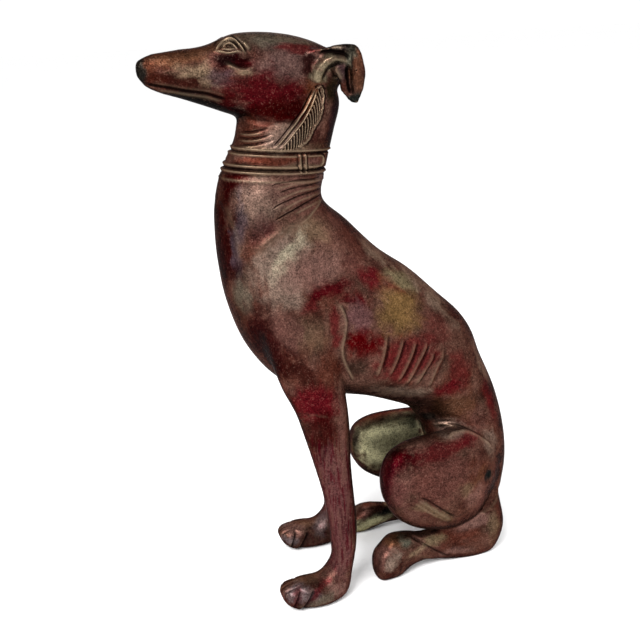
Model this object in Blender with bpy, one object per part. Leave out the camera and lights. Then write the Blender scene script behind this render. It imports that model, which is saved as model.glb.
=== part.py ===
"""Seated whippet, a hollow bronze cast in one piece, built at life size in metres.

The dog faces -X and its left side is toward -Y.  Its pose, limbs and carving are
drawn on a grid 720 units tall, so at its usual height one unit is one millimetre.
"""
import math

import bpy
import numpy as np

figureHeight = 0.720
unit = figureHeight / 720
skinCell = 3.2
triangleLimit = 9600
farPawBack = 39.0
farLegCurve = 1.15
farPawIn = 15.0
farFootOut = 12.0
farKneeIn = 8.0
farKneeDown = 4.0
farKneeSlim = 0.2
farFootFlat = 0.31
farFootLean = 0.2
farEarDrop = 5.0
soleLevel = 1.5

# Each row is one ring: front or lower point x z, back or upper point x z,
# sideways centre, half width, where it is widest (0 front, 1 back), squareness.
trunkRings = (
    (-25, 656, 82, 664, 0, 34, 0.50, 2.0),
    (-36, 622, 90, 634, 0, 39, 0.52, 2.0),
    (-42, 598, 81, 602, 0, 42, 0.52, 2.0),
    (-59, 567, 68, 556, 0, 46, 0.52, 2.0),
    (-70, 530, 62, 522, 0, 52, 0.50, 2.0),
    (-73, 496, 92, 492, 0, 59, 0.48, 2.0),
    (-72, 453, 133, 450, 0, 66, 0.45, 2.1),
    (-65, 401, 176, 418, 0, 71, 0.42, 2.1),
    (-44, 341, 215, 381, 0, 73, 0.42, 2.1),
    (-5, 292, 248, 349, 0, 72, 0.44, 2.1),
    (46, 270, 266, 321, 0, 68, 0.46, 2.1),
    (95, 257, 277, 290, 0, 62, 0.48, 2.1),
    (138, 240, 290, 261, 0, 55, 0.50, 2.1),
    (170, 224, 301, 233, 0, 51, 0.54, 2.1),
    (189, 201, 309, 200, 0, 55, 0.58, 2.1),
    (204, 168, 313, 165, 0, 60, 0.60, 2.1),
    (215, 132, 313, 131, 0, 60, 0.60, 2.1),
    (228, 98, 309, 98, 0, 54, 0.60, 2.1),
)
headRings = (
    (-145, 674, -144, 695, 0, 9.5, 0.50, 2.8),
    (-138, 665, -131, 700, 0, 14, 0.50, 2.6),
    (-122, 657, -116, 702, 0, 18, 0.50, 2.4),
    (-104, 651, -98, 704, 0, 21, 0.50, 2.2),
    (-85, 644, -80, 705, 0, 24, 0.50, 2.2),
    (-69, 638, -64, 708, 0, 27, 0.48, 2.3),
    (-54, 632, -50, 713, 0, 30, 0.46, 2.5),
    (-37, 626, -33, 718, 0, 34, 0.46, 2.7),
    (-15, 620, -10, 719, 0, 38, 0.46, 2.5),
    (10, 618, 14, 717, 0, 40, 0.46, 2.3),
    (36, 622, 36, 713, 0, 40, 0.48, 2.2),
    (58, 632, 58, 706, 0, 37, 0.50, 2.1),
    (77, 643, 77, 697, 0, 31, 0.50, 2.1),
)
shoulderRings = (
    (40, 470, 92, 462, 34, 16, 0.5, 2.0),
    (-12, 440, 88, 436, 40, 26, 0.5, 2.0),
    (-34, 394, 74, 398, 46, 29, 0.5, 2.0),
    (-31, 346, 63, 347, 52, 28, 0.5, 2.1),
    (-18, 300, 63, 300, 57, 26, 0.5, 2.1),
    (-4, 268, 65, 266, 62, 22, 0.5, 2.1),
    (6, 232, 66, 232, 65, 19.5, 0.5, 2.1),
    (17, 188, 65, 188, 67, 18, 0.5, 2.1),
    (26, 148, 67, 148, 68, 16.5, 0.5, 2.1),
    (31, 110, 69, 106, 69, 17, 0.5, 2.2),
    (33, 78, 67, 70, 70, 16, 0.5, 2.2),
    (32, 55, 60, 40, 71, 18, 0.5, 2.2),
    (13, 36, 50, 8, 74, 22, 0.5, 2.3),
    (-9, 37, 26, 0, 76, 25, 0.6, 2.4),
    (-34, 34, -19, 0, 76, 23, 0.6, 2.4),
)
thighRings = (
    (292, 128, 284, 176, 40, 16, 0.5, 2.0),
    (274, 90, 262, 196, 46, 26, 0.5, 2.0),
    (246, 64, 236, 201, 55, 31, 0.5, 2.1),
    (213, 58, 204, 204, 62, 32, 0.5, 2.1),
    (180, 63, 170, 204, 66, 31.5, 0.5, 2.1),
    (154, 73, 145, 202, 68, 30.5, 0.5, 2.1),
    (137, 84, 130, 197, 69, 29, 0.5, 2.1),
    (125, 95, 119, 190, 69.5, 26.5, 0.5, 2.1),
    (117, 106, 112.5, 181, 70, 22, 0.5, 2.1),
    (112, 118, 109, 171, 70, 16, 0.5, 2.1),
)
hockRings = (
    (284, 108, 246, 112, 46, 15, 0.5, 2.0),
    (292, 74, 250, 84, 49, 17, 0.5, 2.0),
    (296, 36, 246, 68, 51, 18, 0.5, 2.0),
    (279, 3, 236, 62, 53, 17, 0.5, 2.2),
    (250, -3, 222, 60, 53, 17, 0.5, 2.3),
    (212, 1, 198, 57, 53, 15.5, 0.5, 2.1),
    (180, 9, 169, 53, 53, 15, 0.5, 2.1),
    (154, 8, 145, 60, 55, 17, 0.5, 2.2),
    (130, -2, 121, 61, 58, 21, 0.5, 2.3),
    (110, -2, 106, 47, 59, 21, 0.5, 2.3),
)
# The folded ear: its outer flap, the wall behind it, the arched rim and the crest.
earFlapRings = (
    (80, 690, 83, 702, 46, 7, 0.5, 2.0),
    (87, 683, 98, 700, 49, 8, 0.5, 2.0),
    (89, 669, 104, 685, 51, 8, 0.5, 2.0),
    (90, 655, 106, 667, 52, 7.5, 0.5, 2.0),
    (90, 645, 103, 651, 52, 6.5, 0.5, 2.0),
    (91, 637, 98, 640, 52, 5, 0.5, 2.0),
    (92, 633, 96, 634, 52, 3.5, 0.5, 2.0),
)
earWallRings = (
    (52, 680, 60, 694, 32, 7, 0.5, 2.0),
    (66, 676, 78, 698, 36, 7, 0.5, 2.0),
    (76, 662, 94, 690, 40, 6, 0.5, 2.0),
    (76, 650, 99, 668, 43, 5.5, 0.5, 2.0),
    (82, 642, 99, 652, 46, 5, 0.5, 2.0),
    (89, 635, 96, 638, 49, 4.5, 0.5, 2.0),
)
earRimRings = (
    (47, 660, 56, 659, 38, 5, 0.5, 2.0),
    (49, 672, 59, 669, 41, 5.5, 0.5, 2.0),
    (55, 683, 64, 676, 44, 5.5, 0.5, 2.0),
    (65, 690, 69, 681, 47, 5, 0.5, 2.0),
    (76, 692, 76, 683, 49, 4.5, 0.5, 2.0),
    (85, 688, 80, 679, 51, 4, 0.5, 2.0),
    (89, 681, 82, 676, 51, 3, 0.5, 2.0),
)
earCrestRings = (
    (46, 690, 46, 698, 32, 5, 0.5, 2.0),
    (58, 692, 58, 699, 38, 5, 0.5, 2.0),
    (72, 695, 72, 701, 43, 5, 0.5, 2.0),
    (86, 696, 86, 703, 47, 5, 0.5, 2.0),
    (95, 692, 97, 699, 49, 5, 0.5, 2.0),
)
tailRings = (
    (292, 118, 316, 108, 14, 13, 0.5, 2.0),
    (292, 74, 314, 72, 34, 11, 0.5, 2.0),
    (284, 26, 302, 36, 62, 10, 0.5, 2.0),
    (262, 2, 268, 24, 80, 9, 0.5, 2.0),
    (232, 0, 234, 20, 86, 8, 0.5, 2.0),
    (202, 0, 204, 16, 86, 7, 0.5, 2.0),
)

# Carved lines, as x z points on the side of the dog: (points, width, depth).
# A depth above zero is cut in, and below zero stands out.
carvedLines = {
    "mouth": (((-140, 670), (-126, 666), (-100, 660), (-75, 655), (-52, 647)), 2.4, 2.2),
    "lip": (((-128, 661), (-100, 655), (-76, 650), (-55, 643)), 2.4, -0.9),
    "eyeRim": (((-59, 701), (-51, 708), (-41, 713), (-35, 708), (-29, 698)), 2.0, -1.6),
    "lowerLid": (((-59, 701), (-49, 699), (-38, 699), (-29, 698)), 2.0, -1.4),
    "underEye": (((-55, 695), (-44, 689), (-30, 686), (-20, 690)), 6.0, 2.4),
    "cheekRidge": (((-46, 680), (-37, 675), (-28, 675), (-20, 680)), 4.0, -1.3),
    "jawEdge": (((-36, 624), (-18, 621), (4, 618), (24, 619), (38, 630)), 3.5, 1.6),
    "napeOne": (((52, 549), (23, 552), (-2, 552), (-20, 553)), 2.6, 1.3),
    "napeTwo": (((53, 534), (22, 534), (1, 529), (-16, 526)), 2.6, 1.3),
    "shoulderRidge": (((51, 522), (28, 512), (7, 503), (-15, 492), (-36, 478)), 5.0, -1.5),
    "chestCrease": (((-69, 528), (-65, 512), (-61, 493), (-59, 467), (-58, 446)), 4.0, 1.3),
    "triceps": (((56, 404), (62, 392), (64, 374), (60, 352), (59, 336), (66, 316), (75, 296)), 3.5, -1.8),
    "behindTriceps": (((66, 400), (71, 380), (69, 356), (68, 338), (75, 318), (84, 300)), 5.0, 2.2),
    "elbowFold": (((-2, 262), (8, 276), (22, 272), (36, 266)), 4.0, 0.9),
    "ribOne": (((119, 356), (116, 330), (108, 301)), 3.2, 2.2),
    "ribTwo": (((142, 346), (134, 322), (122, 295)), 3.2, 2.2),
    "ribThree": (((160, 338), (150, 313), (136, 287)), 3.2, 2.2),
    "ribFour": (((177, 333), (163, 308), (148, 280)), 3.2, 2.0),
    "ribFive": (((187, 318), (174, 296), (162, 277)), 3.2, 1.8),
    "ribSix": (((203, 316), (192, 294), (181, 270)), 3.2, 1.6),
    "flankFold": (((201, 203), (218, 203), (238, 195), (272, 166)), 5.0, -1.6),
    "underFlank": (((204, 214), (225, 213), (246, 206), (276, 180)), 7.0, 2.2),
    "shin": (((140, 140), (152, 129), (168, 113), (190, 92)), 4.5, -1.8),
    "underShin": (((132, 132), (146, 118), (162, 102), (180, 84)), 5.0, 1.6),
    "footGroove": (((133, 14), (125, 34), (134, 50), (160, 50)), 4.0, 1.6),
    "hindToe": (((108, 56), (104, 34), (110, 6)), 3.0, 1.8),
}
frontToes = {
    "toeOne": (((-16, 34), (-27, 24), (-26, 10)), 3.2, 2.2),
    "toeTwo": (((-4, 34), (-15, 20), (-18, 4)), 3.2, 2.2),
    "toeThree": (((10, 30), (-2, 16), (-8, 2)), 3.2, 1.8),
}
collarLines = ((587.0, 2.2, -1.8), (580.3, 2.2, -1.8), (574.5, 4.5, -0.9),
               (568.8, 2.2, -1.8), (561.5, 2.4, -2.0))
collarSlope = 0.085


def catmull(rows, steps):
    """Run a smooth curve through the rows, spaced by the distance between them."""
    rows = np.array(rows, float)
    gaps = np.linalg.norm(np.diff(rows[:, :4] + rows[:, 4:5], axis=0), axis=1)
    place = np.concatenate([[0.0], np.cumsum(np.sqrt(gaps))])
    slope = np.gradient(rows, place, axis=0)
    out = []
    for i in range(len(rows) - 1):
        span = place[i + 1] - place[i]
        for t in np.arange(steps) / steps:
            a = 2 * t ** 3 - 3 * t ** 2 + 1
            b = t ** 3 - 2 * t ** 2 + t
            c = -2 * t ** 3 + 3 * t ** 2
            d = t ** 3 - t ** 2
            out.append(a * rows[i] + b * span * slope[i]
                       + c * rows[i + 1] + d * span * slope[i + 1])
    out.append(rows[-1])
    return np.array(out)


def ringPoints(row, sides):
    """Points round one ring."""
    angle = 2 * math.pi * np.arange(sides) / sides
    power = 2.0 / row[7]
    cosine = np.sign(np.cos(angle)) * np.abs(np.cos(angle)) ** power
    sine = np.sign(np.sin(angle)) * np.abs(np.sin(angle)) ** power
    widest = row[6]
    share = np.where(cosine > 0, widest - widest * cosine, widest - (1 - widest) * cosine)
    x = row[0] + (row[2] - row[0]) * share
    z = row[1] + (row[3] - row[1]) * share
    return np.stack([x, row[4] + row[5] * sine, z], axis=1)


def loft(rows, side=1, capStart=0.5, capEnd=0.5, steps=6, sides=40):
    """Skin a set of rings and round off both ends."""
    path = catmull(rows, steps)
    rings = [ringPoints(row, sides) for row in path]
    for end, cap in ((0, capStart), (-1, capEnd)):
        ring = rings[end]
        middle = ring.mean(axis=0)
        inner = rings[1 if end == 0 else -2].mean(axis=0)
        outward = (middle - inner) / np.linalg.norm(middle - inner)
        reach = cap * np.linalg.norm(ring - middle, axis=1).mean()
        extra = []
        for k in range(1, 6):
            turn = math.pi / 2 * k / 5.5
            extra.append(middle + (ring - middle) * math.cos(turn)
                         + outward * reach * math.sin(turn))
        rings = extra[::-1] + rings if end == 0 else rings + extra
    points = np.concatenate(rings)
    points[:, 1] *= side
    count = len(rings)
    faces = []
    for i in range(count - 1):
        for j in range(sides):
            k = (j + 1) % sides
            faces.append((i * sides + j, i * sides + k, (i + 1) * sides + k, (i + 1) * sides + j))
    faces.append(tuple(range(sides))[::-1])
    faces.append(tuple((count - 1) * sides + j for j in range(sides)))
    return points * unit, faces


def addMesh(name, parts):
    """Make one object out of several lofts."""
    points = []
    faces = []
    for partPoints, partFaces in parts:
        start = len(points)
        points.extend(map(tuple, partPoints))
        faces.extend(tuple(start + i for i in face) for face in partFaces)
    mesh = bpy.data.meshes.new(name)
    mesh.from_pydata(points, [], faces)
    mesh.update()
    thing = bpy.data.objects.new(name, mesh)
    bpy.context.scene.collection.objects.link(thing)
    return thing


def applyModifiers(thing):
    """Bake the modifiers into the mesh."""
    for other in bpy.context.selected_objects:
        other.select_set(False)
    thing.select_set(True)
    bpy.context.view_layer.objects.active = thing
    for name in [modifier.name for modifier in thing.modifiers]:
        bpy.ops.object.modifier_apply(modifier=name)


def readMesh(mesh):
    """Vertex places in grid units, and their normals."""
    points = np.empty(len(mesh.vertices) * 3)
    mesh.vertices.foreach_get("co", points)
    normals = np.empty(len(mesh.vertices) * 3)
    mesh.vertex_normals.foreach_get("vector", normals)
    return points.reshape(-1, 3) / unit, normals.reshape(-1, 3)


def writeMesh(mesh, points):
    mesh.vertices.foreach_set("co", (points * unit).ravel())
    mesh.update()


def smoothStep(value):
    value = np.clip(value, 0, 1)
    return value * value * (3 - 2 * value)


def alongLine(flat, line):
    """Distance from points to a polyline, and how far along it they are, 0 to 1."""
    line = np.array(line, float)
    lengths = np.linalg.norm(np.diff(line, axis=0), axis=1)
    starts = np.concatenate([[0], np.cumsum(lengths)])
    best = np.full(len(flat), 1e9)
    share = np.zeros(len(flat))
    for i, length in enumerate(lengths):
        step = (line[i + 1] - line[i]) / length
        reach = np.clip((flat - line[i]) @ step, 0, length)
        gap = np.linalg.norm(flat - line[i] - reach[:, None] * step, axis=1)
        closer = gap < best
        best = np.where(closer, gap, best)
        share = np.where(closer, (starts[i] + reach) / starts[-1], share)
    return best, share


def lineDepth(points, normals, line, width, depth):
    """How deep one carved line cuts at each vertex."""
    gap, share = alongLine(points[:, [0, 2]], line)
    fade = smoothStep(np.minimum(share, 1 - share) / 0.18 + 0.15)
    facing = smoothStep((np.abs(normals[:, 1]) - 0.12) / 0.3)
    return depth * np.exp(-(gap / width) ** 2) * fade * facing


def carveAll(thing):
    """Cut every line into both sides and weight the vertices that need small faces."""
    points, normals = readMesh(thing.data)
    cut = np.zeros(len(points))
    outside = np.sign(points[:, 1]) * np.sign(normals[:, 1]) > 0
    for line, width, depth in carvedLines.values():
        near = lineDepth(points, normals, line, width, depth)
        cut += np.where(outside, near, 0)
    paw = points.copy()
    low = np.clip(1 - points[:, 2] / 480, 0, 1) ** farLegCurve
    paw[:, 0] -= np.where(points[:, 1] > 0, farPawBack * low, 0)
    for line, width, depth in frontToes.values():
        near = lineDepth(paw, np.ones_like(normals), line, width, depth)
        cut += np.where(points[:, 2] < 42, near, 0)
    level = points[:, 2] + collarSlope * points[:, 0]
    onNeck = (points[:, 0] < 95) & (points[:, 2] > 530) & (points[:, 2] < 600)
    for place, width, depth in collarLines:
        cut += np.where(onNeck, depth * np.exp(-((level - place) / width) ** 2), 0)
    group = thing.vertex_groups.new(name="fine")
    weight = np.clip(np.abs(cut) / 1.2, 0, 1) + np.where(points[:, 2] > 640, 0.35, 0)
    for i, value in enumerate(np.clip(weight, 0, 1)):
        group.add([i], float(value), "REPLACE")
    writeMesh(thing.data, points - normals * cut[:, None])


def restOnFloor(thing):
    """Level the soles on the floor."""
    points, normals = readMesh(thing.data)
    points[:, 2] = np.where(points[:, 2] < soleLevel + 0.4, soleLevel, points[:, 2])
    writeMesh(thing.data, points)


def standUpright(thing):
    """Put the middle of the footprint at the origin and the soles at zero."""
    points, normals = readMesh(thing.data)
    low = points.min(axis=0)
    high = points.max(axis=0)
    points -= ((low[0] + high[0]) / 2, (low[1] + high[1]) / 2, low[2])
    writeMesh(thing.data, points)


for old in list(bpy.data.objects):
    bpy.data.objects.remove(old, do_unlink=True)

parts = [loft(trunkRings, capStart=0.3, capEnd=0.6), loft(headRings, capStart=0.35, capEnd=0.6)]
for side in (-1, 1):
    for rows in (earFlapRings, earWallRings, earRimRings, earCrestRings):
        ear = loft(rows, side, capStart=0.5, capEnd=0.5)
        ear[0][:, 2] -= farEarDrop * unit * (side > 0)
        parts.append(ear)
    frontLeg = loft(shoulderRings, side, capStart=0.4, capEnd=0.6)
    backLeg = loft(hockRings, side, capStart=0.3, capEnd=0.6)
    thigh = loft(thighRings, side, capStart=0.5, capEnd=0.22)
    if side > 0:
        low = np.clip(1 - frontLeg[0][:, 2] / (480 * unit), 0, 1) ** farLegCurve
        frontLeg[0][:, 0] += farPawBack * unit * low
        frontLeg[0][:, 1] -= farPawIn * unit * low
        backLeg[0][:, 1] += farFootOut * unit * np.clip(1 - backLeg[0][:, 2] / (110 * unit), 0, 1)
        knee = np.clip((285 * unit - thigh[0][:, 0]) / (80 * unit), 0, 1)
        thigh[0][:, 1] -= farKneeIn * unit * knee
        thigh[0][:, 2] -= (farKneeDown * unit + farKneeSlim * (thigh[0][:, 2] - 146 * unit)) * knee
        thigh[0][:, 0] += farKneeDown * unit * knee
        toes = np.clip((235 * unit - backLeg[0][:, 0]) / (60 * unit), 0, 1)
        backLeg[0][:, 2] *= 1 - farFootFlat * toes
        backLeg[0][:, 0] += farFootLean * backLeg[0][:, 2] * toes
    parts.append(frontLeg)
    parts.append(backLeg)
    parts.append(thigh)
parts.append(loft(tailRings, 1, capStart=0.5, capEnd=0.8))
dog = addMesh("whippet_casting", parts)
remesh = dog.modifiers.new("skin", "REMESH")
remesh.mode = "VOXEL"
remesh.voxel_size = skinCell * unit
soften = dog.modifiers.new("soften", "SMOOTH")
soften.factor = 0.5
soften.iterations = 9
applyModifiers(dog)
carveAll(dog)
restOnFloor(dog)
trim = dog.modifiers.new("trim", "DECIMATE")
faceCount = sum(len(face.vertices) - 2 for face in dog.data.polygons)
trim.ratio = triangleLimit / faceCount
trim.vertex_group = "fine"
trim.vertex_group_factor = 0.12
trim.invert_vertex_group = True
applyModifiers(dog)
dog.vertex_groups.clear()
restOnFloor(dog)
standUpright(dog)
bronze = bpy.data.materials.new("bronze")
bronze.use_nodes = True
surface = bronze.node_tree.nodes["Principled BSDF"]
surface.inputs["Base Color"].default_value = (0.17, 0.07, 0.055, 1.0)
surface.inputs["Metallic"].default_value = 0.8
surface.inputs["Roughness"].default_value = 0.42
dog.data.materials.append(bronze)
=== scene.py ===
import math

import bpy
import numpy as np
from mathutils import Matrix, Vector, noise


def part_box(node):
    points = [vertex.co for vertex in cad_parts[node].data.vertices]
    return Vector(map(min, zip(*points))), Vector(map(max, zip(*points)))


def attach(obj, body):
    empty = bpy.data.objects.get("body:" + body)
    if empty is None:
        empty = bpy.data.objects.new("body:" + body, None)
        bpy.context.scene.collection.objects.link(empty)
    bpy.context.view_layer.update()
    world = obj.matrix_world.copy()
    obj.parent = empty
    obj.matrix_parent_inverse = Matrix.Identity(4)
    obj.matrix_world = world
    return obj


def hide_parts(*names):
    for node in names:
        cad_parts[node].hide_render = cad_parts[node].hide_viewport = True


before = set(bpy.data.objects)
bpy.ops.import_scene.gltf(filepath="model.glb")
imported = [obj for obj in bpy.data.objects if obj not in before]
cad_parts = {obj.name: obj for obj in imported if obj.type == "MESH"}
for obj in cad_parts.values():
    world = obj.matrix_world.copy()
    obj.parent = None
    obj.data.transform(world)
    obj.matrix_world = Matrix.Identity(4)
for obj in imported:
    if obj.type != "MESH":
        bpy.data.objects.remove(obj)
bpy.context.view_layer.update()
print("frame loaded")

# The dog is drawn on a grid 720 units tall. It faces -X, and its left side is toward -Y.
dog = {
    "height": 0.720,
    "gridHeight": 720.0,
    "skinCell": 3.4,
    "triangles": 192000,
    "softening": 9,
    "soleLevel": 1.5,
    "soleReach": 0.4,
}
# The far legs and ear mirror the near ones, and then differ by this much.
farSide = {
    "earDrop": 5.0,
    "legTop": 480,
    "legCurve": 1.15,
    "pawBack": 39.0,
    "pawIn": 15.0,
    "footTop": 110,
    "footOut": 12.0,
    "kneeRear": 285,
    "kneeLength": 80,
    "kneeMiddle": 146,
    "kneeIn": 8.0,
    "kneeDown": 4.0,
    "kneeSlim": 0.2,
    "toesRear": 235,
    "toesLength": 60,
    "footFlat": 0.31,
    "footLean": 0.2,
}
unit = dog["height"] / dog["gridHeight"]

# One row is one ring: front or lower point x z, back or upper point x z,
# sideways centre, half width, where it is widest (0 front, 1 back), squareness.
# A row without the last two has 0.5 and 2.0.
trunkRings = (
    (-25, 656, 82, 664, 0, 34, 0.50, 2.0),
    (-36, 622, 90, 634, 0, 39, 0.52, 2.0),
    (-42, 598, 81, 602, 0, 42, 0.52, 2.0),
    (-59, 567, 68, 556, 0, 46, 0.52, 2.0),
    (-70, 530, 62, 522, 0, 52, 0.50, 2.0),
    (-73, 496, 92, 492, 0, 59, 0.48, 2.0),
    (-72, 453, 133, 450, 0, 66, 0.45, 2.1),
    (-65, 401, 176, 418, 0, 71, 0.42, 2.1),
    (-44, 341, 215, 381, 0, 73, 0.42, 2.1),
    (-5, 292, 248, 349, 0, 72, 0.44, 2.1),
    (46, 270, 266, 321, 0, 68, 0.46, 2.1),
    (95, 257, 277, 290, 0, 62, 0.48, 2.1),
    (138, 240, 290, 261, 0, 55, 0.50, 2.1),
    (170, 224, 301, 233, 0, 51, 0.54, 2.1),
    (189, 201, 309, 200, 0, 55, 0.58, 2.1),
    (204, 168, 313, 165, 0, 60, 0.60, 2.1),
    (215, 132, 313, 131, 0, 60, 0.60, 2.1),
    (228, 98, 309, 98, 0, 54, 0.60, 2.1),
)
headRings = (
    (-145, 674, -144, 695, 0, 9.5, 0.50, 2.8),
    (-138, 665, -131, 700, 0, 14, 0.50, 2.6),
    (-122, 657, -116, 702, 0, 18, 0.50, 2.4),
    (-104, 651, -98, 704, 0, 21, 0.50, 2.2),
    (-85, 644, -80, 705, 0, 24, 0.50, 2.2),
    (-69, 638, -64, 708, 0, 27, 0.48, 2.3),
    (-54, 632, -50, 713, 0, 30, 0.46, 2.5),
    (-37, 626, -33, 718, 0, 34, 0.46, 2.7),
    (-15, 620, -10, 719, 0, 38, 0.46, 2.5),
    (10, 618, 14, 717, 0, 40, 0.46, 2.3),
    (36, 622, 36, 713, 0, 40, 0.48, 2.2),
    (58, 632, 58, 706, 0, 37, 0.50, 2.1),
    (77, 643, 77, 697, 0, 31, 0.50, 2.1),
)
shoulderRings = (
    (40, 470, 92, 462, 34, 16, 0.5, 2.0),
    (-12, 440, 88, 436, 40, 26, 0.5, 2.0),
    (-34, 394, 74, 398, 46, 29, 0.5, 2.0),
    (-31, 346, 63, 347, 52, 28, 0.5, 2.1),
    (-18, 300, 63, 300, 57, 26, 0.5, 2.1),
    (-4, 268, 65, 266, 62, 22, 0.5, 2.1),
    (6, 232, 66, 232, 65, 19.5, 0.5, 2.1),
    (17, 188, 65, 188, 67, 18, 0.5, 2.1),
    (26, 148, 67, 148, 68, 16.5, 0.5, 2.1),
    (31, 110, 69, 106, 69, 17, 0.5, 2.2),
    (33, 78, 67, 70, 70, 16, 0.5, 2.2),
    (32, 55, 60, 40, 71, 18, 0.5, 2.2),
    (13, 36, 50, 8, 74, 22, 0.5, 2.3),
    (-9, 37, 26, 0, 76, 25, 0.6, 2.4),
    (-34, 34, -19, 0, 76, 23, 0.6, 2.4),
)
thighRings = (
    (292, 128, 284, 176, 40, 16, 0.5, 2.0),
    (274, 90, 262, 196, 46, 26, 0.5, 2.0),
    (246, 64, 236, 201, 55, 31, 0.5, 2.1),
    (213, 58, 204, 204, 62, 32, 0.5, 2.1),
    (180, 63, 170, 204, 66, 31.5, 0.5, 2.1),
    (154, 73, 145, 202, 68, 30.5, 0.5, 2.1),
    (137, 84, 130, 197, 69, 29, 0.5, 2.1),
    (125, 95, 119, 190, 69.5, 26.5, 0.5, 2.1),
    (117, 106, 112.5, 181, 70, 22, 0.5, 2.1),
    (112, 118, 109, 171, 70, 16, 0.5, 2.1),
)
hockRings = (
    (284, 108, 246, 112, 46, 15, 0.5, 2.0),
    (292, 74, 250, 84, 49, 17, 0.5, 2.0),
    (296, 36, 246, 68, 51, 18, 0.5, 2.0),
    (279, 3, 236, 62, 53, 17, 0.5, 2.2),
    (250, -3, 222, 60, 53, 17, 0.5, 2.3),
    (212, 1, 198, 57, 53, 15.5, 0.5, 2.1),
    (180, 9, 169, 53, 53, 15, 0.5, 2.1),
    (154, 8, 145, 60, 55, 17, 0.5, 2.2),
    (130, -2, 121, 61, 58, 21, 0.5, 2.3),
    (110, -2, 106, 47, 59, 21, 0.5, 2.3),
)
# The folded ear: its outer flap, the wall behind it, the arched rim, the crest and the inner lobe.
earFlapRings = (
    (80, 690, 83, 702, 46, 7),
    (87, 683, 98, 700, 49, 8),
    (89, 669, 104, 685, 51, 8),
    (90, 655, 106, 667, 52, 7.5),
    (90, 645, 103, 651, 52, 6.5),
    (91, 637, 98, 640, 52, 5),
    (92, 633, 96, 634, 52, 3.5),
)
earWallRings = (
    (52, 680, 60, 694, 32, 7),
    (66, 676, 78, 698, 36, 7),
    (76, 662, 94, 690, 40, 6),
    (76, 650, 99, 668, 43, 5.5),
    (82, 642, 99, 652, 46, 5),
    (89, 635, 96, 638, 49, 4.5),
)
earRimRings = (
    (47, 660, 56, 659, 38, 5),
    (49, 672, 59, 669, 41, 5.5),
    (55, 683, 64, 676, 44, 5.5),
    (65, 690, 69, 681, 47, 5),
    (76, 692, 76, 683, 49, 4.5),
    (85, 688, 80, 679, 51, 4),
    (89, 681, 82, 676, 51, 3),
)
earCrestRings = (
    (46, 690, 46, 698, 32, 5),
    (58, 692, 58, 699, 38, 5),
    (72, 695, 72, 701, 43, 5),
    (86, 696, 86, 703, 47, 5),
    (95, 692, 97, 699, 49, 5),
)
earLobeRings = (
    (70, 683, 82, 683, 44, 4),
    (72, 674, 83, 673, 46, 3.5),
    (77, 664, 81, 663, 47, 2.5),
)
tailRings = (
    (292, 118, 316, 108, 14, 13),
    (292, 74, 314, 72, 34, 11),
    (284, 26, 302, 36, 62, 10),
    (262, 2, 268, 24, 80, 9),
    (232, 0, 234, 20, 86, 8),
    (202, 0, 204, 16, 86, 7),
)


def smoothPath(rows, steps):
    # a smooth curve through the rows, spaced by the distance between them
    rows = np.array([(row + (0.5, 2.0))[:8] for row in rows], float)
    gaps = np.linalg.norm(np.diff(rows[:, :4] + rows[:, 4:5], axis=0), axis=1)
    place = np.concatenate([[0.0], np.cumsum(np.sqrt(gaps))])
    slope = np.gradient(rows, place, axis=0)
    out = []
    for i in range(len(rows) - 1):
        span = place[i + 1] - place[i]
        for t in np.arange(steps) / steps:
            out.append((2 * t ** 3 - 3 * t ** 2 + 1) * rows[i]
                       + (t ** 3 - 2 * t ** 2 + t) * span * slope[i]
                       + (3 * t ** 2 - 2 * t ** 3) * rows[i + 1]
                       + (t ** 3 - t ** 2) * span * slope[i + 1])
    out.append(rows[-1])
    return np.array(out)


def ringPoints(row, sides):
    angle = 2 * math.pi * np.arange(sides) / sides
    power = 2.0 / row[7]
    cosine = np.sign(np.cos(angle)) * np.abs(np.cos(angle)) ** power
    sine = np.sign(np.sin(angle)) * np.abs(np.sin(angle)) ** power
    widest = row[6]
    share = np.where(cosine > 0, widest - widest * cosine, widest - (1 - widest) * cosine)
    x = row[0] + (row[2] - row[0]) * share
    z = row[1] + (row[3] - row[1]) * share
    return np.stack([x, row[4] + row[5] * sine, z], axis=1)


def loftPoints(rows, side=1, capStart=0.5, capEnd=0.5, steps=6, sides=40):
    # rings along the form, rounded off at both ends
    rings = [ringPoints(row, sides) for row in smoothPath(rows, steps)]
    for end, cap in ((0, capStart), (-1, capEnd)):
        ring = rings[end]
        middle = ring.mean(axis=0)
        inner = rings[1 if end == 0 else -2].mean(axis=0)
        outward = (middle - inner) / np.linalg.norm(middle - inner)
        reach = cap * np.linalg.norm(ring - middle, axis=1).mean()
        extra = []
        for k in range(1, 6):
            turn = math.pi / 2 * k / 5.5
            extra.append(middle + (ring - middle) * math.cos(turn)
                         + outward * reach * math.sin(turn))
        rings = extra[::-1] + rings if end == 0 else rings + extra
    points = np.array(rings)
    points[:, :, 1] *= side
    return points


def addLoft(name, rings):
    # skin the rings as one closed tube
    count, sides = rings.shape[:2]
    faces = []
    for i in range(count - 1):
        for j in range(sides):
            k = (j + 1) % sides
            faces.append((i * sides + j, i * sides + k, (i + 1) * sides + k, (i + 1) * sides + j))
    faces.append(tuple(range(sides))[::-1])
    faces.append(tuple((count - 1) * sides + j for j in range(sides)))
    mesh = bpy.data.meshes.new(name)
    mesh.from_pydata(rings.reshape(-1, 3).tolist(), [], faces)
    mesh.update()
    thing = bpy.data.objects.new(name, mesh)
    bpy.context.scene.collection.objects.link(thing)
    return thing


def deselectAll():
    for other in bpy.context.selected_objects:
        other.select_set(False)


def makeActive(thing):
    deselectAll()
    thing.select_set(True)
    bpy.context.view_layer.objects.active = thing


def joinAll(things):
    makeActive(things[0])
    for thing in things:
        thing.select_set(True)
    bpy.ops.object.join()
    return things[0]


def applyAll(thing):
    makeActive(thing)
    for name in [modifier.name for modifier in thing.modifiers]:
        bpy.ops.object.modifier_apply(modifier=name)


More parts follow.
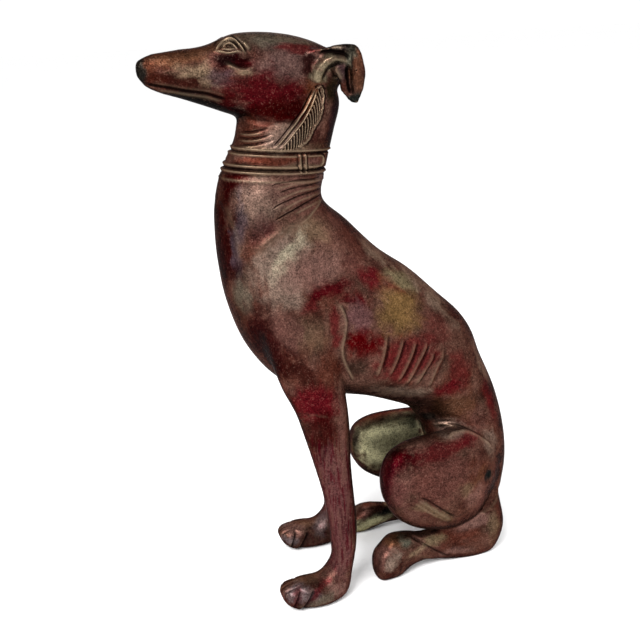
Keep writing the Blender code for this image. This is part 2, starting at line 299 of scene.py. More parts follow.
def readMesh(mesh):
    points = np.empty(len(mesh.vertices) * 3)
    mesh.vertices.foreach_get("co", points)
    normals = np.empty(len(mesh.vertices) * 3)
    mesh.vertex_normals.foreach_get("vector", normals)
    return points.reshape(-1, 3), normals.reshape(-1, 3)


def writeMesh(mesh, points):
    mesh.vertices.foreach_set("co", points.ravel())
    mesh.update()


def legShare(level):
    # 0 at the top of a front leg and 1 at its paw
    return np.clip(1 - level / farSide["legTop"], 0, 1) ** farSide["legCurve"]


def moveFarLegs(frontLeg, backLeg, thigh):
    low = legShare(frontLeg[:, :, 2])
    frontLeg[:, :, 0] += farSide["pawBack"] * low
    frontLeg[:, :, 1] -= farSide["pawIn"] * low
    backLeg[:, :, 1] += farSide["footOut"] * np.clip(1 - backLeg[:, :, 2] / farSide["footTop"], 0, 1)
    knee = np.clip((farSide["kneeRear"] - thigh[:, :, 0]) / farSide["kneeLength"], 0, 1)
    slim = farSide["kneeSlim"] * (thigh[:, :, 2] - farSide["kneeMiddle"])
    thigh[:, :, 1] -= farSide["kneeIn"] * knee
    thigh[:, :, 2] -= (farSide["kneeDown"] + slim) * knee
    thigh[:, :, 0] += farSide["kneeDown"] * knee
    toes = np.clip((farSide["toesRear"] - backLeg[:, :, 0]) / farSide["toesLength"], 0, 1)
    backLeg[:, :, 2] *= 1 - farSide["footFlat"] * toes
    backLeg[:, :, 0] += farSide["footLean"] * backLeg[:, :, 2] * toes


limbs = [addLoft("trunk", loftPoints(trunkRings, capStart=0.3, capEnd=0.6)),
         addLoft("head", loftPoints(headRings, capStart=0.35, capEnd=0.6)),
         addLoft("tail", loftPoints(tailRings, capStart=0.5, capEnd=0.8))]
for side in (-1, 1):
    for rows in (earFlapRings, earWallRings, earRimRings, earCrestRings, earLobeRings):
        ear = loftPoints(rows, side, capStart=0.5, capEnd=0.5)
        ear[:, :, 2] -= farSide["earDrop"] * (side > 0)
        limbs.append(addLoft("ear", ear))
    frontLeg = loftPoints(shoulderRings, side, capStart=0.4, capEnd=0.6)
    backLeg = loftPoints(hockRings, side, capStart=0.3, capEnd=0.6)
    thigh = loftPoints(thighRings, side, capStart=0.5, capEnd=0.22)
    if side > 0:
        moveFarLegs(frontLeg, backLeg, thigh)
    limbs.append(addLoft("frontLeg", frontLeg))
    limbs.append(addLoft("backLeg", backLeg))
    limbs.append(addLoft("thigh", thigh))
whippet = joinAll(limbs)
whippet.name = "bronze_whippet"
whippet.data.name = "bronze_whippet"
skin = whippet.modifiers.new("skin", "REMESH")
skin.mode = "VOXEL"
skin.voxel_size = dog["skinCell"]
soften = whippet.modifiers.new("soften", "SMOOTH")
soften.factor = 0.5
soften.iterations = dog["softening"]
applyAll(whippet)

# Where the shoulder flows into the chest: x, distance from the middle, z, reach.
shoulderFlow = {
    "places": ((-34, 52, 410, 34), (-40, 50, 360, 30), (-26, 62, 330, 26), (62, 70, 420, 26)),
    "least": 0.03,
    "rounds": 60,
}
points, normals = readMesh(whippet.data)
flow = np.zeros(len(points))
for x, out, z, reach in shoulderFlow["places"]:
    away = np.hypot(np.hypot(points[:, 0] - x, np.abs(points[:, 1]) - out), points[:, 2] - z) / reach
    flow = np.maximum(flow, np.exp(-away ** 2))
blend = whippet.vertex_groups.new(name="blend")
for i in np.nonzero(flow > shoulderFlow["least"])[0]:
    blend.add([int(i)], float(flow[i]), "REPLACE")
flowing = whippet.modifiers.new("flowing", "SMOOTH")
flowing.factor = 0.5
flowing.iterations = shoulderFlow["rounds"]
flowing.vertex_group = "blend"
applyAll(whippet)
whippet.vertex_groups.clear()
print("body skinned:", len(whippet.data.polygons), "faces")

# Lines cut or raised on both sides of the dog, as x z points: (points, width, depth).
# A depth above zero is cut in, and below zero stands out.
headCarving = {
    "eyeOuter": (((-60, 700.5), (-56, 705), (-51, 709.5), (-45, 712.5), (-41, 713), (-37, 711),
                  (-33, 705), (-28.5, 696)), 1.05, -2.0),
    "lowerLid": (((-61, 700.5), (-54, 699.5), (-47, 697.8), (-41, 698.6), (-36, 699.3),
                  (-31.5, 697)), 0.95, -2.0),
    "eyeInnerTop": (((-53, 703.3), (-48.5, 707.3), (-43.5, 708.8), (-40, 706.8),
                     (-36.5, 702.3)), 0.85, -1.9),
    "eyeInnerLow": (((-53, 703.3), (-48, 701.6), (-43, 701.6), (-39.5, 703.2)), 0.8, -1.6),
    "eyeSocket": (((-55, 702.5), (-49, 706.5), (-43, 708), (-38.5, 705), (-35, 700.5)), 3.6, 1.6),
    "eyeRing": (((-57, 702), (-51.5, 706.8), (-46, 710.2), (-40.8, 710.2), (-36.6, 706),
                 (-32.2, 699.4)), 1.1, 2.0),
    "eyeDark": (((-48.5, 704.8), (-44.5, 706), (-41, 704.6)), 1.1, 2.0),
    "aboveEye": (((-62, 703), (-57, 708.5), (-51, 713), (-44, 716), (-38, 715.5), (-33.5, 710),
                  (-29, 703), (-25, 696)), 1.4, 1.7),
    "browLight": (((-29, 709), (-26.5, 705), (-23.5, 700)), 1.8, -1.4),
    "cheekRidge": (((-50, 687.5), (-43, 682), (-36, 678), (-28, 677.5), (-22, 680.5)), 2.2, -1.0),
    "cheekHollow": (((-56, 695.5), (-49, 692), (-41, 688), (-32, 686), (-24, 690)), 4.4, 1.6),
    "mouth": (((-140, 669), (-126, 666), (-114, 663.5), (-100, 660), (-88, 657.5), (-75, 655),
               (-64, 651), (-52, 647)), 1.5, 2.0),
    "lipTop": (((-132, 669.5), (-118, 667), (-102, 663), (-88, 660.5), (-75, 658.5), (-62, 655),
                (-54, 651)), 1.8, -0.3),
    "lipLow": (((-128, 661), (-113, 659), (-100, 656), (-84, 653), (-70, 650), (-58, 645)), 1.8, -0.6),
    "nostril": (((-141, 687), (-138.5, 688.5), (-136.5, 687)), 1.2, 0.5),
    "nosePad": (((-134, 699), (-136, 690), (-139, 682), (-141, 676)), 1.4, 0.7),
    "jawEdge": (((-38, 626), (-26, 623.5), (-6, 620), (14, 618.5), (26, 621), (36, 628)), 3.4, 1.9),
    "throatOne": (((-38, 610), (-28, 609.5), (-18, 611), (-8, 612.5)), 1.0, 1.5),
    "throatTwo": (((-39, 603), (-28, 602), (-16, 603.5), (-6, 606)), 1.0, 1.5),
    "throatThree": (((-40, 595), (-28, 595.5), (-15, 597.5), (-4, 599.5)), 1.0, 1.4),
    "throatPleatOne": (((-38, 606.5), (-27, 606), (-16, 607.5)), 1.2, -0.9),
    "throatPleatTwo": (((-39, 599.5), (-27, 599), (-14, 601)), 1.2, -0.9),
    "throatPleatThree": (((-41, 592.5), (-28, 592.5), (-14, 594)), 1.2, -0.8),
}
neckCarving = {
    "napeOne": (((57, 551), (40, 550), (23, 552), (10, 551.5), (-2, 551), (-16, 548)), 1.0, 1.6),
    "napeTwo": (((57, 543), (40, 543.5), (23, 544), (8, 543), (-6, 540)), 1.0, 1.6),
    "napeThree": (((58, 535), (40, 535), (22, 534), (8, 531), (-6, 527), (-16, 522)), 1.0, 1.7),
    "napeFour": (((58, 528), (44, 527), (28, 524), (12, 519), (0, 515), (-14, 509)), 1.0, 1.8),
    "pleatOne": (((57, 547), (40, 546.5), (23, 548), (6, 547), (-8, 544)), 1.3, -0.9),
    "pleatTwo": (((57, 539), (40, 539), (22, 539), (6, 536), (-8, 532)), 1.3, -0.9),
    "pleatThree": (((58, 531.5), (42, 530.5), (25, 529), (10, 525), (-4, 520)), 1.3, -0.9),
    "pleatFour": (((58, 523.5), (44, 521.5), (28, 518.5), (12, 514)), 1.4, -0.9),
    "shoulderRidge": (((56, 526), (50, 520), (38, 513), (28, 507), (14, 501)), 1.5, -1.3),
    "bladeRidge": (((30, 508), (14, 502), (-2, 497), (-16, 490), (-30, 480), (-40, 470)), 5.5, -2.0),
    "bladeHollow": (((26, 488), (10, 484), (-6, 476), (-20, 464)), 9.0, 1.2),
    "chestCrease": (((-71, 534), (-67, 522), (-65, 508), (-61, 493), (-60, 476), (-59, 460),
                     (-60, 444)), 2.4, 1.2),
    "chestBand": (((-63, 528), (-60, 512), (-56, 496), (-55, 478), (-54, 462)), 3.0, -0.7),
}
bodyCarving = {
    "triceps": (((55, 404), (61, 394), (64, 378), (61, 360), (58, 345), (60, 330), (66, 315),
                 (74, 298)), 1.7, -1.9),
    "behindTriceps": (((62, 402), (68.5, 388), (70, 372), (67, 355), (65, 340), (68, 325), (76, 308),
                       (82, 296)), 3.2, 2.2),
    "tricepsFront": (((40, 404), (43, 392), (44, 376), (40, 356)), 2.2, 0.9),
    "elbowFold": (((-2, 262), (4, 268), (10, 273), (18, 272), (26, 270), (36, 267)), 1.6, 0.5),
    "elbowRim": (((-3, 259), (5, 264), (13, 269), (24, 266), (34, 263)), 1.3, -0.4),
    "ribOne": (((117, 354), (115, 342), (112, 328), (107, 312), (103, 299)), 2.3, -2.1),
    "ribTwo": (((140, 345), (136, 334), (130, 319), (120, 298)), 2.3, -2.1),
    "ribThree": (((158, 338), (153, 326), (146, 312), (133, 287)), 2.3, -2.1),
    "ribFour": (((175, 334), (169, 322), (159, 307), (145, 280)), 2.3, -2.0),
    "ribFive": (((185, 318), (179, 308), (170, 296), (159, 277)), 2.3, -1.8),
    "ribSix": (((200, 316), (196, 306), (188, 295), (178, 270)), 2.3, -1.6),
    "gapOne": (((122, 354), (121, 340), (118, 325), (113, 309)), 2.0, 3.1),
    "gapTwo": (((145.5, 343), (142, 332), (136, 317), (127, 300)), 2.0, 3.1),
    "gapThree": (((164, 336), (160, 324), (153, 309), (141, 288)), 2.0, 3.0),
    "gapFour": (((181, 331), (176, 320), (167, 305), (153, 282)), 2.0, 2.8),
    "gapFive": (((191, 317), (186, 307), (177, 295), (167, 279)), 2.0, 2.4),
    "gapSix": (((206, 314), (203, 304), (196, 292), (187, 272)), 2.0, 2.0),
    "flankFold": (((198, 199), (208, 202), (220, 202), (236, 197), (252, 186), (268, 170)), 2.0, -1.7),
    "flankCut": (((200, 204), (210, 206.5), (222, 206), (238, 200.5), (250, 192)), 1.3, 1.7),
    "flankLine": (((196, 212), (210, 213), (226, 210), (242, 203), (258, 190)), 5.0, 1.3),
    "underShin": (((133, 118), (145, 107), (157, 98), (171, 89), (183, 83)), 6.0, 1.4),
    "thighBack": (((292, 128), (290, 104), (283, 88), (270, 76), (252, 66)), 2.4, -1.0),
}
footCarving = {
    "shin": (((145, 130), (155, 123), (165, 113), (175, 103.5), (186, 94), (198, 83.5)), 2.6, -2.2),
    "shinEdge": (((141, 126), (150, 118), (160, 108.5), (171, 99.5), (183, 90.5), (194, 82.5)), 1.5, -1.0),
    "overShin": (((148, 133.5), (159, 127), (170, 117), (182, 106), (193, 96), (204, 86.5)), 1.3, 2.6),
    "sideOfFoot": (((150, 56), (157, 51), (168, 41), (180, 31), (192, 21), (206, 12)), 1.6, 2.6),
    "footBand": (((140, 40), (152, 30), (166, 22), (182, 12), (196, 5)), 2.4, -0.9),
    "toeTopHind": (((104, 52), (112, 46), (122, 41), (133, 40)), 2.2, 1.3),
    "toeBackHind": (((127, 30), (131, 20), (130, 10), (124, 3)), 2.0, 1.4),
    "toeMidHind": (((104, 36), (110, 26), (116, 14), (120, 4)), 1.6, 1.2),
}
earCarving = {
    "earBand": (((54, 691.5), (60, 693.5), (68, 694.5), (77, 692.5), (83.5, 688.5), (87, 683)), 2.2, 3.4),
    "earRimLine": (((46.5, 658), (48, 667), (52, 676), (59, 683.5), (67, 687), (76, 686.5),
                    (83, 682.5)), 3.0, -0.8),
    "earUnder": (((59, 662), (62, 670), (67, 677), (74, 680), (80, 677.5)), 2.2, 3.6),
    "earLobeOne": (((71, 677), (74, 669), (78, 661)), 2.6, -1.6),
    "earGap": (((84, 679), (86, 668), (86, 656), (88, 645)), 2.2, 4.5),
    "earGroove": (((90, 694), (89, 684), (89.5, 675), (91, 667)), 1.5, 1.6),
    "earHole": (((92.2, 672.6), (93.2, 671.4)), 1.3, 1.6),
    "earFoot": (((45.5, 686), (44.5, 678), (44.5, 668), (43, 659)), 2.4, 1.3),
}
# A front paw. The steps are lines between the toes on its side: behind a line the paw is cut
# away softly, and in front of it the edge is sharp. The clefts part the toes at the front.
paw = {
    "top": 48,
    "back": 34,
    "middle": 76,
    "steps": (
        (((-17, 35), (-22, 27), (-26, 20), (-31, 8), (-33, 1)), 7.0, 3.2),
        (((0, 33), (-8, 22), (-14, 13), (-19, 6), (-22, 1)), 8.0, 3.4),
        (((-33, 33), (-36, 26), (-38, 16), (-40, 4)), 5.0, 1.6),
    ),
    "stepEdge": 0.8,
    "clefts": (-10.5, 0.0, 10.5),
    "cleftWidth": 1.7,
    "cleftDepth": 2.0,
    "cleftStart": -2,
    "cleftFade": 16,
}
# Soft swellings and hollows: x, distance from the middle, z, three reaches, height.
swellings = (
    (-42, 28, 691, 15, 14, 6, -2.6),
    (-28, 32, 688, 10, 12, 6, -1.8),
    (-24, 30, 700, 7, 12, 7, -1.2),
    (-40, 14, 716, 14, 9, 5, 0.8),
    (6, 40, 652, 30, 16, 22, 1.8),
    (-76, 22, 686, 18, 12, 8, -0.9),
    (-100, 18, 678, 22, 12, 8, 0.8),
    (-14, 38, 676, 16, 12, 8, 0.8),
    (30, 38, 676, 14, 14, 14, -0.8),
    (60, 32, 640, 12, 14, 18, -1.5),
    (12, 42, 606, 16, 14, 10, 1.0),
    (-10, 50, 530, 22, 16, 22, 1.8),
    (20, 54, 505, 18, 14, 12, -1.2),
    (-18, 58, 470, 20, 20, 30, 2.6),
    (26, 66, 468, 30, 14, 24, -1.4),
    (66, 66, 452, 34, 16, 40, 1.2),
    (36, 72, 414, 28, 14, 9, -2.2),
    (30, 76, 384, 20, 16, 26, 1.6),
    (-36, 66, 396, 26, 20, 26, 2.2),
    (-14, 72, 352, 16, 16, 26, 1.4),
    (88, 74, 382, 14, 12, 16, 1.2),
    (90, 74, 336, 13, 12, 26, -2.2),
    (150, 70, 370, 40, 14, 30, 0.9),
    (222, 60, 290, 28, 16, 30, -1.4),
    (262, 50, 250, 26, 16, 40, 1.0),
    (232, 70, 218, 26, 12, 8, -1.6),
    (150, 94, 160, 34, 16, 30, 1.5),
    (220, 92, 160, 36, 16, 32, 1.2),
    (258, 80, 132, 7, 8, 7, -1.6),
    (14, 84, 284, 12, 12, 10, 1.0),
)
# The collar sits lower at the nape. A band is level, width and depth. On the near side the
# strap's middle bands end at its tip, and leave the two loops round the strap clear.
collar = {
    "slope": 0.085,
    "low": 545,
    "high": 600,
    "back": 100,
    "bands": ((587.4, 1.15, -1.5), (584.0, 1.2, 1.7), (580.8, 1.1, -1.3), (574.6, 4.0, 0.3),
              (571.4, 0.9, 0.8), (568.2, 1.4, -1.4), (564.6, 1.3, 2.0), (561.2, 1.2, -1.4),
              (557.8, 1.4, 1.0), (551.6, 1.1, -0.9)),
    "strapLow": 566,
    "strapHigh": 583,
    "loops": (25.5, 32.5),
    "loopsLow": 560,
    "loopsHigh": 586,
    "loopMiddle": 573,
    "loopReach": 12.4,
    "loopDepth": -1.5,
    "loopWidth": 1.2,
    "loopRoom": 2.3,
    "loopEdge": 3.0,
    "edgeReach": 11,
    "edgeDepth": 1.3,
    "tipStart": 51.0,
    "tipEnd": 59.0,
    "tipMiddle": 574.7,
    "tipLength": 6.2,
    "rimReach": 6.1,
    "rimWidth": 1.3,
    "rimDepth": -1.7,
    "grooveReach": 9.6,
    "grooveWidth": 1.4,
    "grooveDepth": 1.6,
}
# The feather behind the cheek: its shaft, the line in front of it, and its scalloped rear edge.
feather = {
    "shaft": ((4, 590), (12, 597.5), (22, 608), (32, 618), (40, 628.5), (46, 637.5), (50, 645), (52, 651)),
    "outer": ((-3, 590), (6, 599), (16, 609.5), (27, 620.5), (35, 630), (41, 638.5), (46, 646), (50, 653)),
    "edge": ((25, 590), (31, 592.5), (37.5, 597), (41, 602), (44.5, 608), (49, 613.5), (53.5, 618.5),
             (56, 624), (58.5, 630), (59.5, 636), (61.5, 641.5), (61, 647), (60, 652), (56.5, 655.5),
             (53, 654.5)),
    "low": 588,
    "high": 657,
    "widest": 19,
    "barbPitch": 5.3,
    "barbLean": 0.75,
    "barbCurve": 0.035,
    "barbCut": 1.3,
    "barbHeight": 2.6,
    "scallop": 6.5,
    "scallopDepth": 0.9,
}


def smoothStep(value):
    value = np.clip(value, 0, 1)
    return value * value * (3 - 2 * value)


def curveThrough(line, cuts=4):
    # a soft curve through a few points, as a finer polyline
    line = np.array(line, float)
    padded = np.concatenate([[2 * line[0] - line[1]], line, [2 * line[-1] - line[-2]]])
    out = []
    for i in range(1, len(padded) - 2):
        a, b, c, d = padded[i - 1:i + 3]
        for t in np.arange(cuts) / cuts:
            out.append(0.5 * (2 * b + (c - a) * t + (2 * a - 5 * b + 4 * c - d) * t ** 2
                              + (3 * b - a - 3 * c + d) * t ** 3))
    out.append(line[-1])
    return np.array(out)


def alongLine(flat, line):
    # distance to a line, how far along it (mm), its length, and the signed side
    lengths = np.linalg.norm(np.diff(line, axis=0), axis=1)
    starts = np.concatenate([[0], np.cumsum(lengths)])
    best = np.full(len(flat), 1e9)
    along = np.zeros(len(flat))
    side = np.ones(len(flat))
    for i, length in enumerate(lengths):
        step = (line[i + 1] - line[i]) / length
        offset = flat - line[i]
        reach = np.clip(offset @ step, 0, length)
        gap = np.linalg.norm(offset - reach[:, None] * step, axis=1)
        closer = gap < best
        best = np.where(closer, gap, best)
        along = np.where(closer, starts[i] + reach, along)
        turn = offset[:, 0] * step[1] - offset[:, 1] * step[0]
        side = np.where(closer, np.sign(turn), side)
    return best, along, starts[-1], side


def nearBox(flat, line, margin):
    low = line.min(axis=0) - margin
    high = line.max(axis=0) + margin
    return np.all((flat > low) & (flat < high), axis=1)


class Relief:
    # gathers what is cut or raised at each vertex, and where hollows and crests run
    def __init__(self, mesh):
        self.points, self.normals = readMesh(mesh)
        self.cut = np.zeros(len(self.points))
        self.hollow = np.zeros(len(self.points))
        self.crest = np.zeros(len(self.points))
        side = np.where(self.points[:, 1] < 0, -1.0, 1.0)
        self.facing = side * self.normals[:, 1]
        self.flat = self.points[:, [0, 2]].copy()

    def add(self, amount, tint):
        self.cut += amount
        strength = np.clip(np.abs(amount) * tint, 0, 1)
        self.hollow = np.where(amount > 0, np.maximum(self.hollow, strength), self.hollow)
        self.crest = np.where(amount < 0, np.maximum(self.crest, strength), self.crest)

    def stroke(self, line, width, depth, tint, leastFacing=0.075):
        # one line, shallower at its ends and where the surface turns away
        line = curveThrough(line)
        near = nearBox(self.flat, line, 4 * width) & (self.facing > leastFacing)
        if not near.any():
            return
        gap, along, total, side = alongLine(self.flat[near], line)
        ends = np.minimum(along, total - along)
        amount = depth * np.exp(-(gap / width) ** 2)
        amount *= smoothStep(ends / min(9.0, total * 0.3) + 0.2)
        amount *= smoothStep((self.facing[near] - leastFacing) / 0.25)
        full = np.zeros(len(self.points))
        full[near] = amount
        self.add(full, min(tint, tint * 1.5 / width))

    def finish(self, mesh):
        writeMesh(mesh, self.points - self.normals * self.cut[:, None])


def frontLegShift(points):
    # how far a point of the far front leg stands back and in from its twin
    low = legShare(points[:, 2])
    far = points[:, 1] > 0
    return np.where(far, farSide["pawBack"] * low, 0), np.where(far, farSide["pawIn"] * low, 0)


def distanceToCarving(flat, lineSets):
    best = np.full(len(flat), 1e9)
    for carving in lineSets:
        for line, width, depth in carving.values():
            line = np.array(line, float)
            near = nearBox(flat, line, 14)
            if near.any():
                gap = alongLine(flat[near], line)[0]
                best[near] = np.minimum(best[near], gap)
    return best


def splitFaces(thing, chosen):
    # halve the faces that carry fine work
    makeActive(thing)
    mesh = thing.data
    mesh.vertices.foreach_set("select", np.zeros(len(mesh.vertices), bool))
    mesh.edges.foreach_set("select", np.zeros(len(mesh.edges), bool))
    mesh.polygons.foreach_set("select", chosen)
    bpy.context.tool_settings.mesh_select_mode = (False, False, True)
    bpy.ops.object.mode_set(mode="EDIT")
    bpy.ops.mesh.subdivide(number_cuts=1, ngon=True)
    bpy.ops.mesh.vertices_smooth(factor=0.5, repeat=2)
    bpy.ops.object.mode_set(mode="OBJECT")


def faceMiddles(mesh):
    # each face's middle and normal, its middle seen from the side, how far it faces
    # sideways, and its level in the slope of the collar
    middles = np.empty(len(mesh.polygons) * 3)
    mesh.polygons.foreach_get("center", middles)
    middles = middles.reshape(-1, 3)
    turned = np.empty(len(mesh.polygons) * 3)
    mesh.polygons.foreach_get("normal", turned)
    turned = turned.reshape(-1, 3)
    level = middles[:, 2] + collar["slope"] * middles[:, 0]
    return middles, turned, middles[:, [0, 2]], np.abs(turned[:, 1]), level


def countTriangles(mesh):
    return sum(len(face.vertices) - 2 for face in mesh.polygons)


def carveToes(relief):
    legShift, legIn = frontLegShift(relief.points)
    plain = relief.flat.copy()
    relief.flat[:, 0] -= legShift
    onPaw = (relief.points[:, 2] < paw["top"]) & (relief.flat[:, 0] < paw["back"])
    for line, width, depth in paw["steps"]:
        gap, along, total, side = alongLine(relief.flat, curveThrough(line))
        sharp = np.exp(-(gap / paw["stepEdge"]) ** 2)
        amount = depth * np.where(side < 0, np.exp(-gap / width), sharp)
        amount *= smoothStep(along / 7) * smoothStep((np.abs(relief.normals[:, 1]) - 0.1) / 0.3)
        relief.add(np.where(onPaw, amount, 0), 0.3)
    centre = np.abs(relief.points[:, 1]) - paw["middle"] + legIn
    forward = smoothStep((-relief.normals[:, 0] + 0.35 * relief.normals[:, 2] - 0.25) / 0.4)
    fade = smoothStep((paw["cleftStart"] - relief.flat[:, 0]) / paw["cleftFade"])
    for offset in paw["clefts"]:
        gap = np.abs(centre - offset)
        amount = paw["cleftDepth"] * np.exp(-(gap / paw["cleftWidth"]) ** 2) * forward * fade
        relief.add(np.where(onPaw, amount, 0), 0.4)
    relief.flat = plain


def carveCollar(relief):
    x, y, z = relief.points.T
    level = z + collar["slope"] * x
    onNeck = (x < collar["back"]) & (z > collar["low"]) & (z < collar["high"])
    nearSide = y < 0
    strapOnly = smoothStep((collar["tipStart"] - x) / 3)
    loopGap = np.min([np.abs(x - place) for place in collar["loops"]], axis=0)
    clearOfLoops = np.where(nearSide, 1 - np.exp(-(loopGap / collar["loopRoom"]) ** 2), 1)
    for place, width, depth in collar["bands"]:
        amount = depth * np.exp(-((level - place) / width) ** 2)
        if collar["strapLow"] < place < collar["strapHigh"]:
            amount = np.where(nearSide, amount * strapOnly, amount) * clearOfLoops
        relief.add(np.where(onNeck, amount, 0), 0.6)
    onStrap = onNeck & nearSide & (level > collar["loopsLow"]) & (level < collar["loopsHigh"])
    offMiddle = np.abs(level - collar["loopMiddle"])
    onLoop = smoothStep((collar["loopReach"] - offMiddle) / 2)
    onEdge = smoothStep((collar["edgeReach"] - offMiddle) / 2)
    for place in collar["loops"]:
        gap = np.abs(x - place) / collar["loopWidth"]
        beside = (np.abs(x - place) - collar["loopEdge"]) / collar["loopWidth"]
        amount = collar["loopDepth"] * np.exp(-gap ** 2) * onLoop
        amount += collar["edgeDepth"] * np.exp(-beside ** 2) * onEdge
        relief.add(np.where(onStrap, amount, 0), 0.6)
    # the round tip: a raised rim with a groove round it
    roundStart = collar["tipEnd"] - collar["tipLength"]
    away = np.hypot(np.maximum(x - roundStart, 0), level - collar["tipMiddle"])
    offRim = (away - collar["rimReach"]) / collar["rimWidth"]
    offGroove = (away - collar["grooveReach"]) / collar["grooveWidth"]
    amount = collar["rimDepth"] * np.exp(-offRim ** 2) + collar["grooveDepth"] * np.exp(-offGroove ** 2)
    isTip = onStrap & (x > collar["tipStart"] - 4)
    relief.add(np.where(isTip, amount * smoothStep((x - collar["tipStart"] + 4) / 4), 0), 0.6)


def carveFeather(relief):
    outer = feather["outer"]
    shaft = feather["shaft"]
    inFront = [(x - 2.6, z + 1.6) for x, z in outer]
    between = [((a + c) / 2, (b + d) / 2) for (a, b), (c, d) in zip(outer, shaft)]
    for line, width, depth, tint in ((outer, 0.85, -1.4, 0.8), (shaft, 0.8, -1.4, 0.8),
                                     (inFront, 1.1, 1.4, 0.9), (between, 1.3, 1.2, 0.6)):
        relief.stroke(line, width, depth, tint)
    z = relief.points[:, 2]
    gap, along, total, side = alongLine(relief.flat, curveThrough(shaft))
    edgeGap, edgeAlong, edgeTotal, edgeSide = alongLine(relief.flat, curveThrough(feather["edge"], 3))
    inside = ((side > 0) & (edgeSide < 0) & (relief.facing > 0.2) & (gap < feather["widest"])
              & (z > feather["low"]))
    phase = (along + feather["barbLean"] * gap + feather["barbCurve"] * gap ** 2) / feather["barbPitch"]
    wave = np.cos(2 * math.pi * phase)
    soft = smoothStep((gap - 1.2) / 1.5) * smoothStep((edgeGap - 1.2) / 1.5)
    barbs = soft * (feather["barbCut"] - feather["barbHeight"] * (0.5 + 0.5 * wave) ** 1.4)
    lobes = feather["scallopDepth"] * np.abs(np.sin(math.pi * edgeAlong / feather["scallop"]))
    offEdge = edgeGap * edgeSide - lobes + 0.5
    rim = 1.3 * np.exp(-((offEdge - 2.6) / 1.3) ** 2) - 1.6 * np.exp(-(offEdge / 1.0) ** 2)
    onFeather = (relief.facing > 0.15) & (z > feather["low"] + 0.5) & (z < feather["high"])
    relief.add(np.where(onFeather, rim, 0), 0.7)
    relief.add(np.where(inside, barbs, 0), 0.75)


def carveAll(relief):
    for carving, tint in carvings:
        for line, width, depth in carving.values():
            relief.stroke(line, width, depth, tint)
    carveToes(relief)
    carveCollar(relief)
    carveFeather(relief)


# Each set of lines, and how strongly it darkens hollows and brightens crests.
carvings = ((headCarving, 0.6), (earCarving, 0.55), (neckCarving, 0.5), (bodyCarving, 0.3),
            (footCarving, 0.35))
# Where the skin is split finer: levels and places on the grid, and reaches from the lines.
fineWork = {
    "headLow": 628,
    "neckBack": 95,
    "neckLow": 552,
    "neckFloor": 540,
    "lineReach": 6.5,
    "pawTop": 46,
    "bandsLow": 554.5,
    "bandsHigh": 591,
    "bandsFloor": 548,
    "eyeReach": 9,
    "eyeBack": -20,
    "shaftReach": 15,
    "shaftHigh": 668,
    "closeReach": 3.0,
    "closeHigh": 700,
    "barbReach": 12.5,
    "frontReach": 8,
    "barbHigh": 664,
}
shaftCurve = curveThrough(feather["shaft"])
smallLines = (headCarving, earCarving, neckCarving)

# first the head, neck, paws and all lines
middles, turned, flat, facing, level = faceMiddles(whippet.data)
lineGap = distanceToCarving(flat, smallLines + (bodyCarving, footCarving))
chosen = middles[:, 2] > fineWork["headLow"]
chosen |= ((level > fineWork["neckLow"]) & (middles[:, 0] < fineWork["neckBack"])
           & (middles[:, 2] > fineWork["neckFloor"]))
chosen |= (lineGap < fineWork["lineReach"]) & (facing > 0.1)
chosen |= (middles[:, 2] < fineWork["pawTop"]) & (middles[:, 0] < paw["back"]) & (turned[:, 2] > -0.7)
splitFaces(whippet, chosen)

# then the collar, the eyes, the feather and the small lines
middles, turned, flat, facing, level = faceMiddles(whippet.data)
chosen = ((level > fineWork["bandsLow"]) & (level < fineWork["bandsHigh"])
          & (middles[:, 0] < fineWork["neckBack"]) & (middles[:, 2] > fineWork["bandsFloor"]))
eyeGap = alongLine(flat, np.array(headCarving["eyeSocket"][0], float))[0]
chosen |= (eyeGap < fineWork["eyeReach"]) & (facing > 0.05) & (middles[:, 0] < fineWork["eyeBack"])
shaftGap = alongLine(flat, shaftCurve)[0]
chosen |= (shaftGap < fineWork["shaftReach"]) & (facing > 0.3) & (middles[:, 2] < fineWork["shaftHigh"])
lineGap = distanceToCarving(flat, smallLines)
chosen |= (lineGap < fineWork["closeReach"]) & (facing > 0.2) & (middles[:, 2] < fineWork["closeHigh"])
splitFaces(whippet, chosen)

# and last the barbs of the feather
middles, turned, flat, facing, level = faceMiddles(whippet.data)
shaftGap, along, total, side = alongLine(flat, shaftCurve)
chosen = shaftGap < np.where(side > 0, fineWork["barbReach"], fineWork["frontReach"])
chosen &= (facing > 0.3) & (middles[:, 2] > feather["low"]) & (middles[:, 2] < fineWork["barbHigh"])
splitFaces(whippet, chosen)
print("fine areas split:", countTriangles(whippet.data), "triangles")

relief = Relief(whippet.data)
for x, out, z, reachX, reachY, reachZ, height in swellings:
    away = (((relief.points[:, 0] - x) / reachX) ** 2
            + ((np.abs(relief.points[:, 1]) - out) / reachY) ** 2
            + ((relief.points[:, 2] - z) / reachZ) ** 2)
    relief.cut -= height * np.exp(-away)
relief.finish(whippet.data)

relief = Relief(whippet.data)
carveAll(relief)
relief.finish(whippet.data)
thin = whippet.modifiers.new("thin", "DECIMATE")
thin.ratio = dog["triangles"] / countTriangles(whippet.data)
applyAll(whippet)
# on the thinned mesh the carving is only read, for where its hollows and crests run
marks = Relief(whippet.data)
carveAll(marks)
print("carving cut:", len(whippet.data.polygons), "triangles")

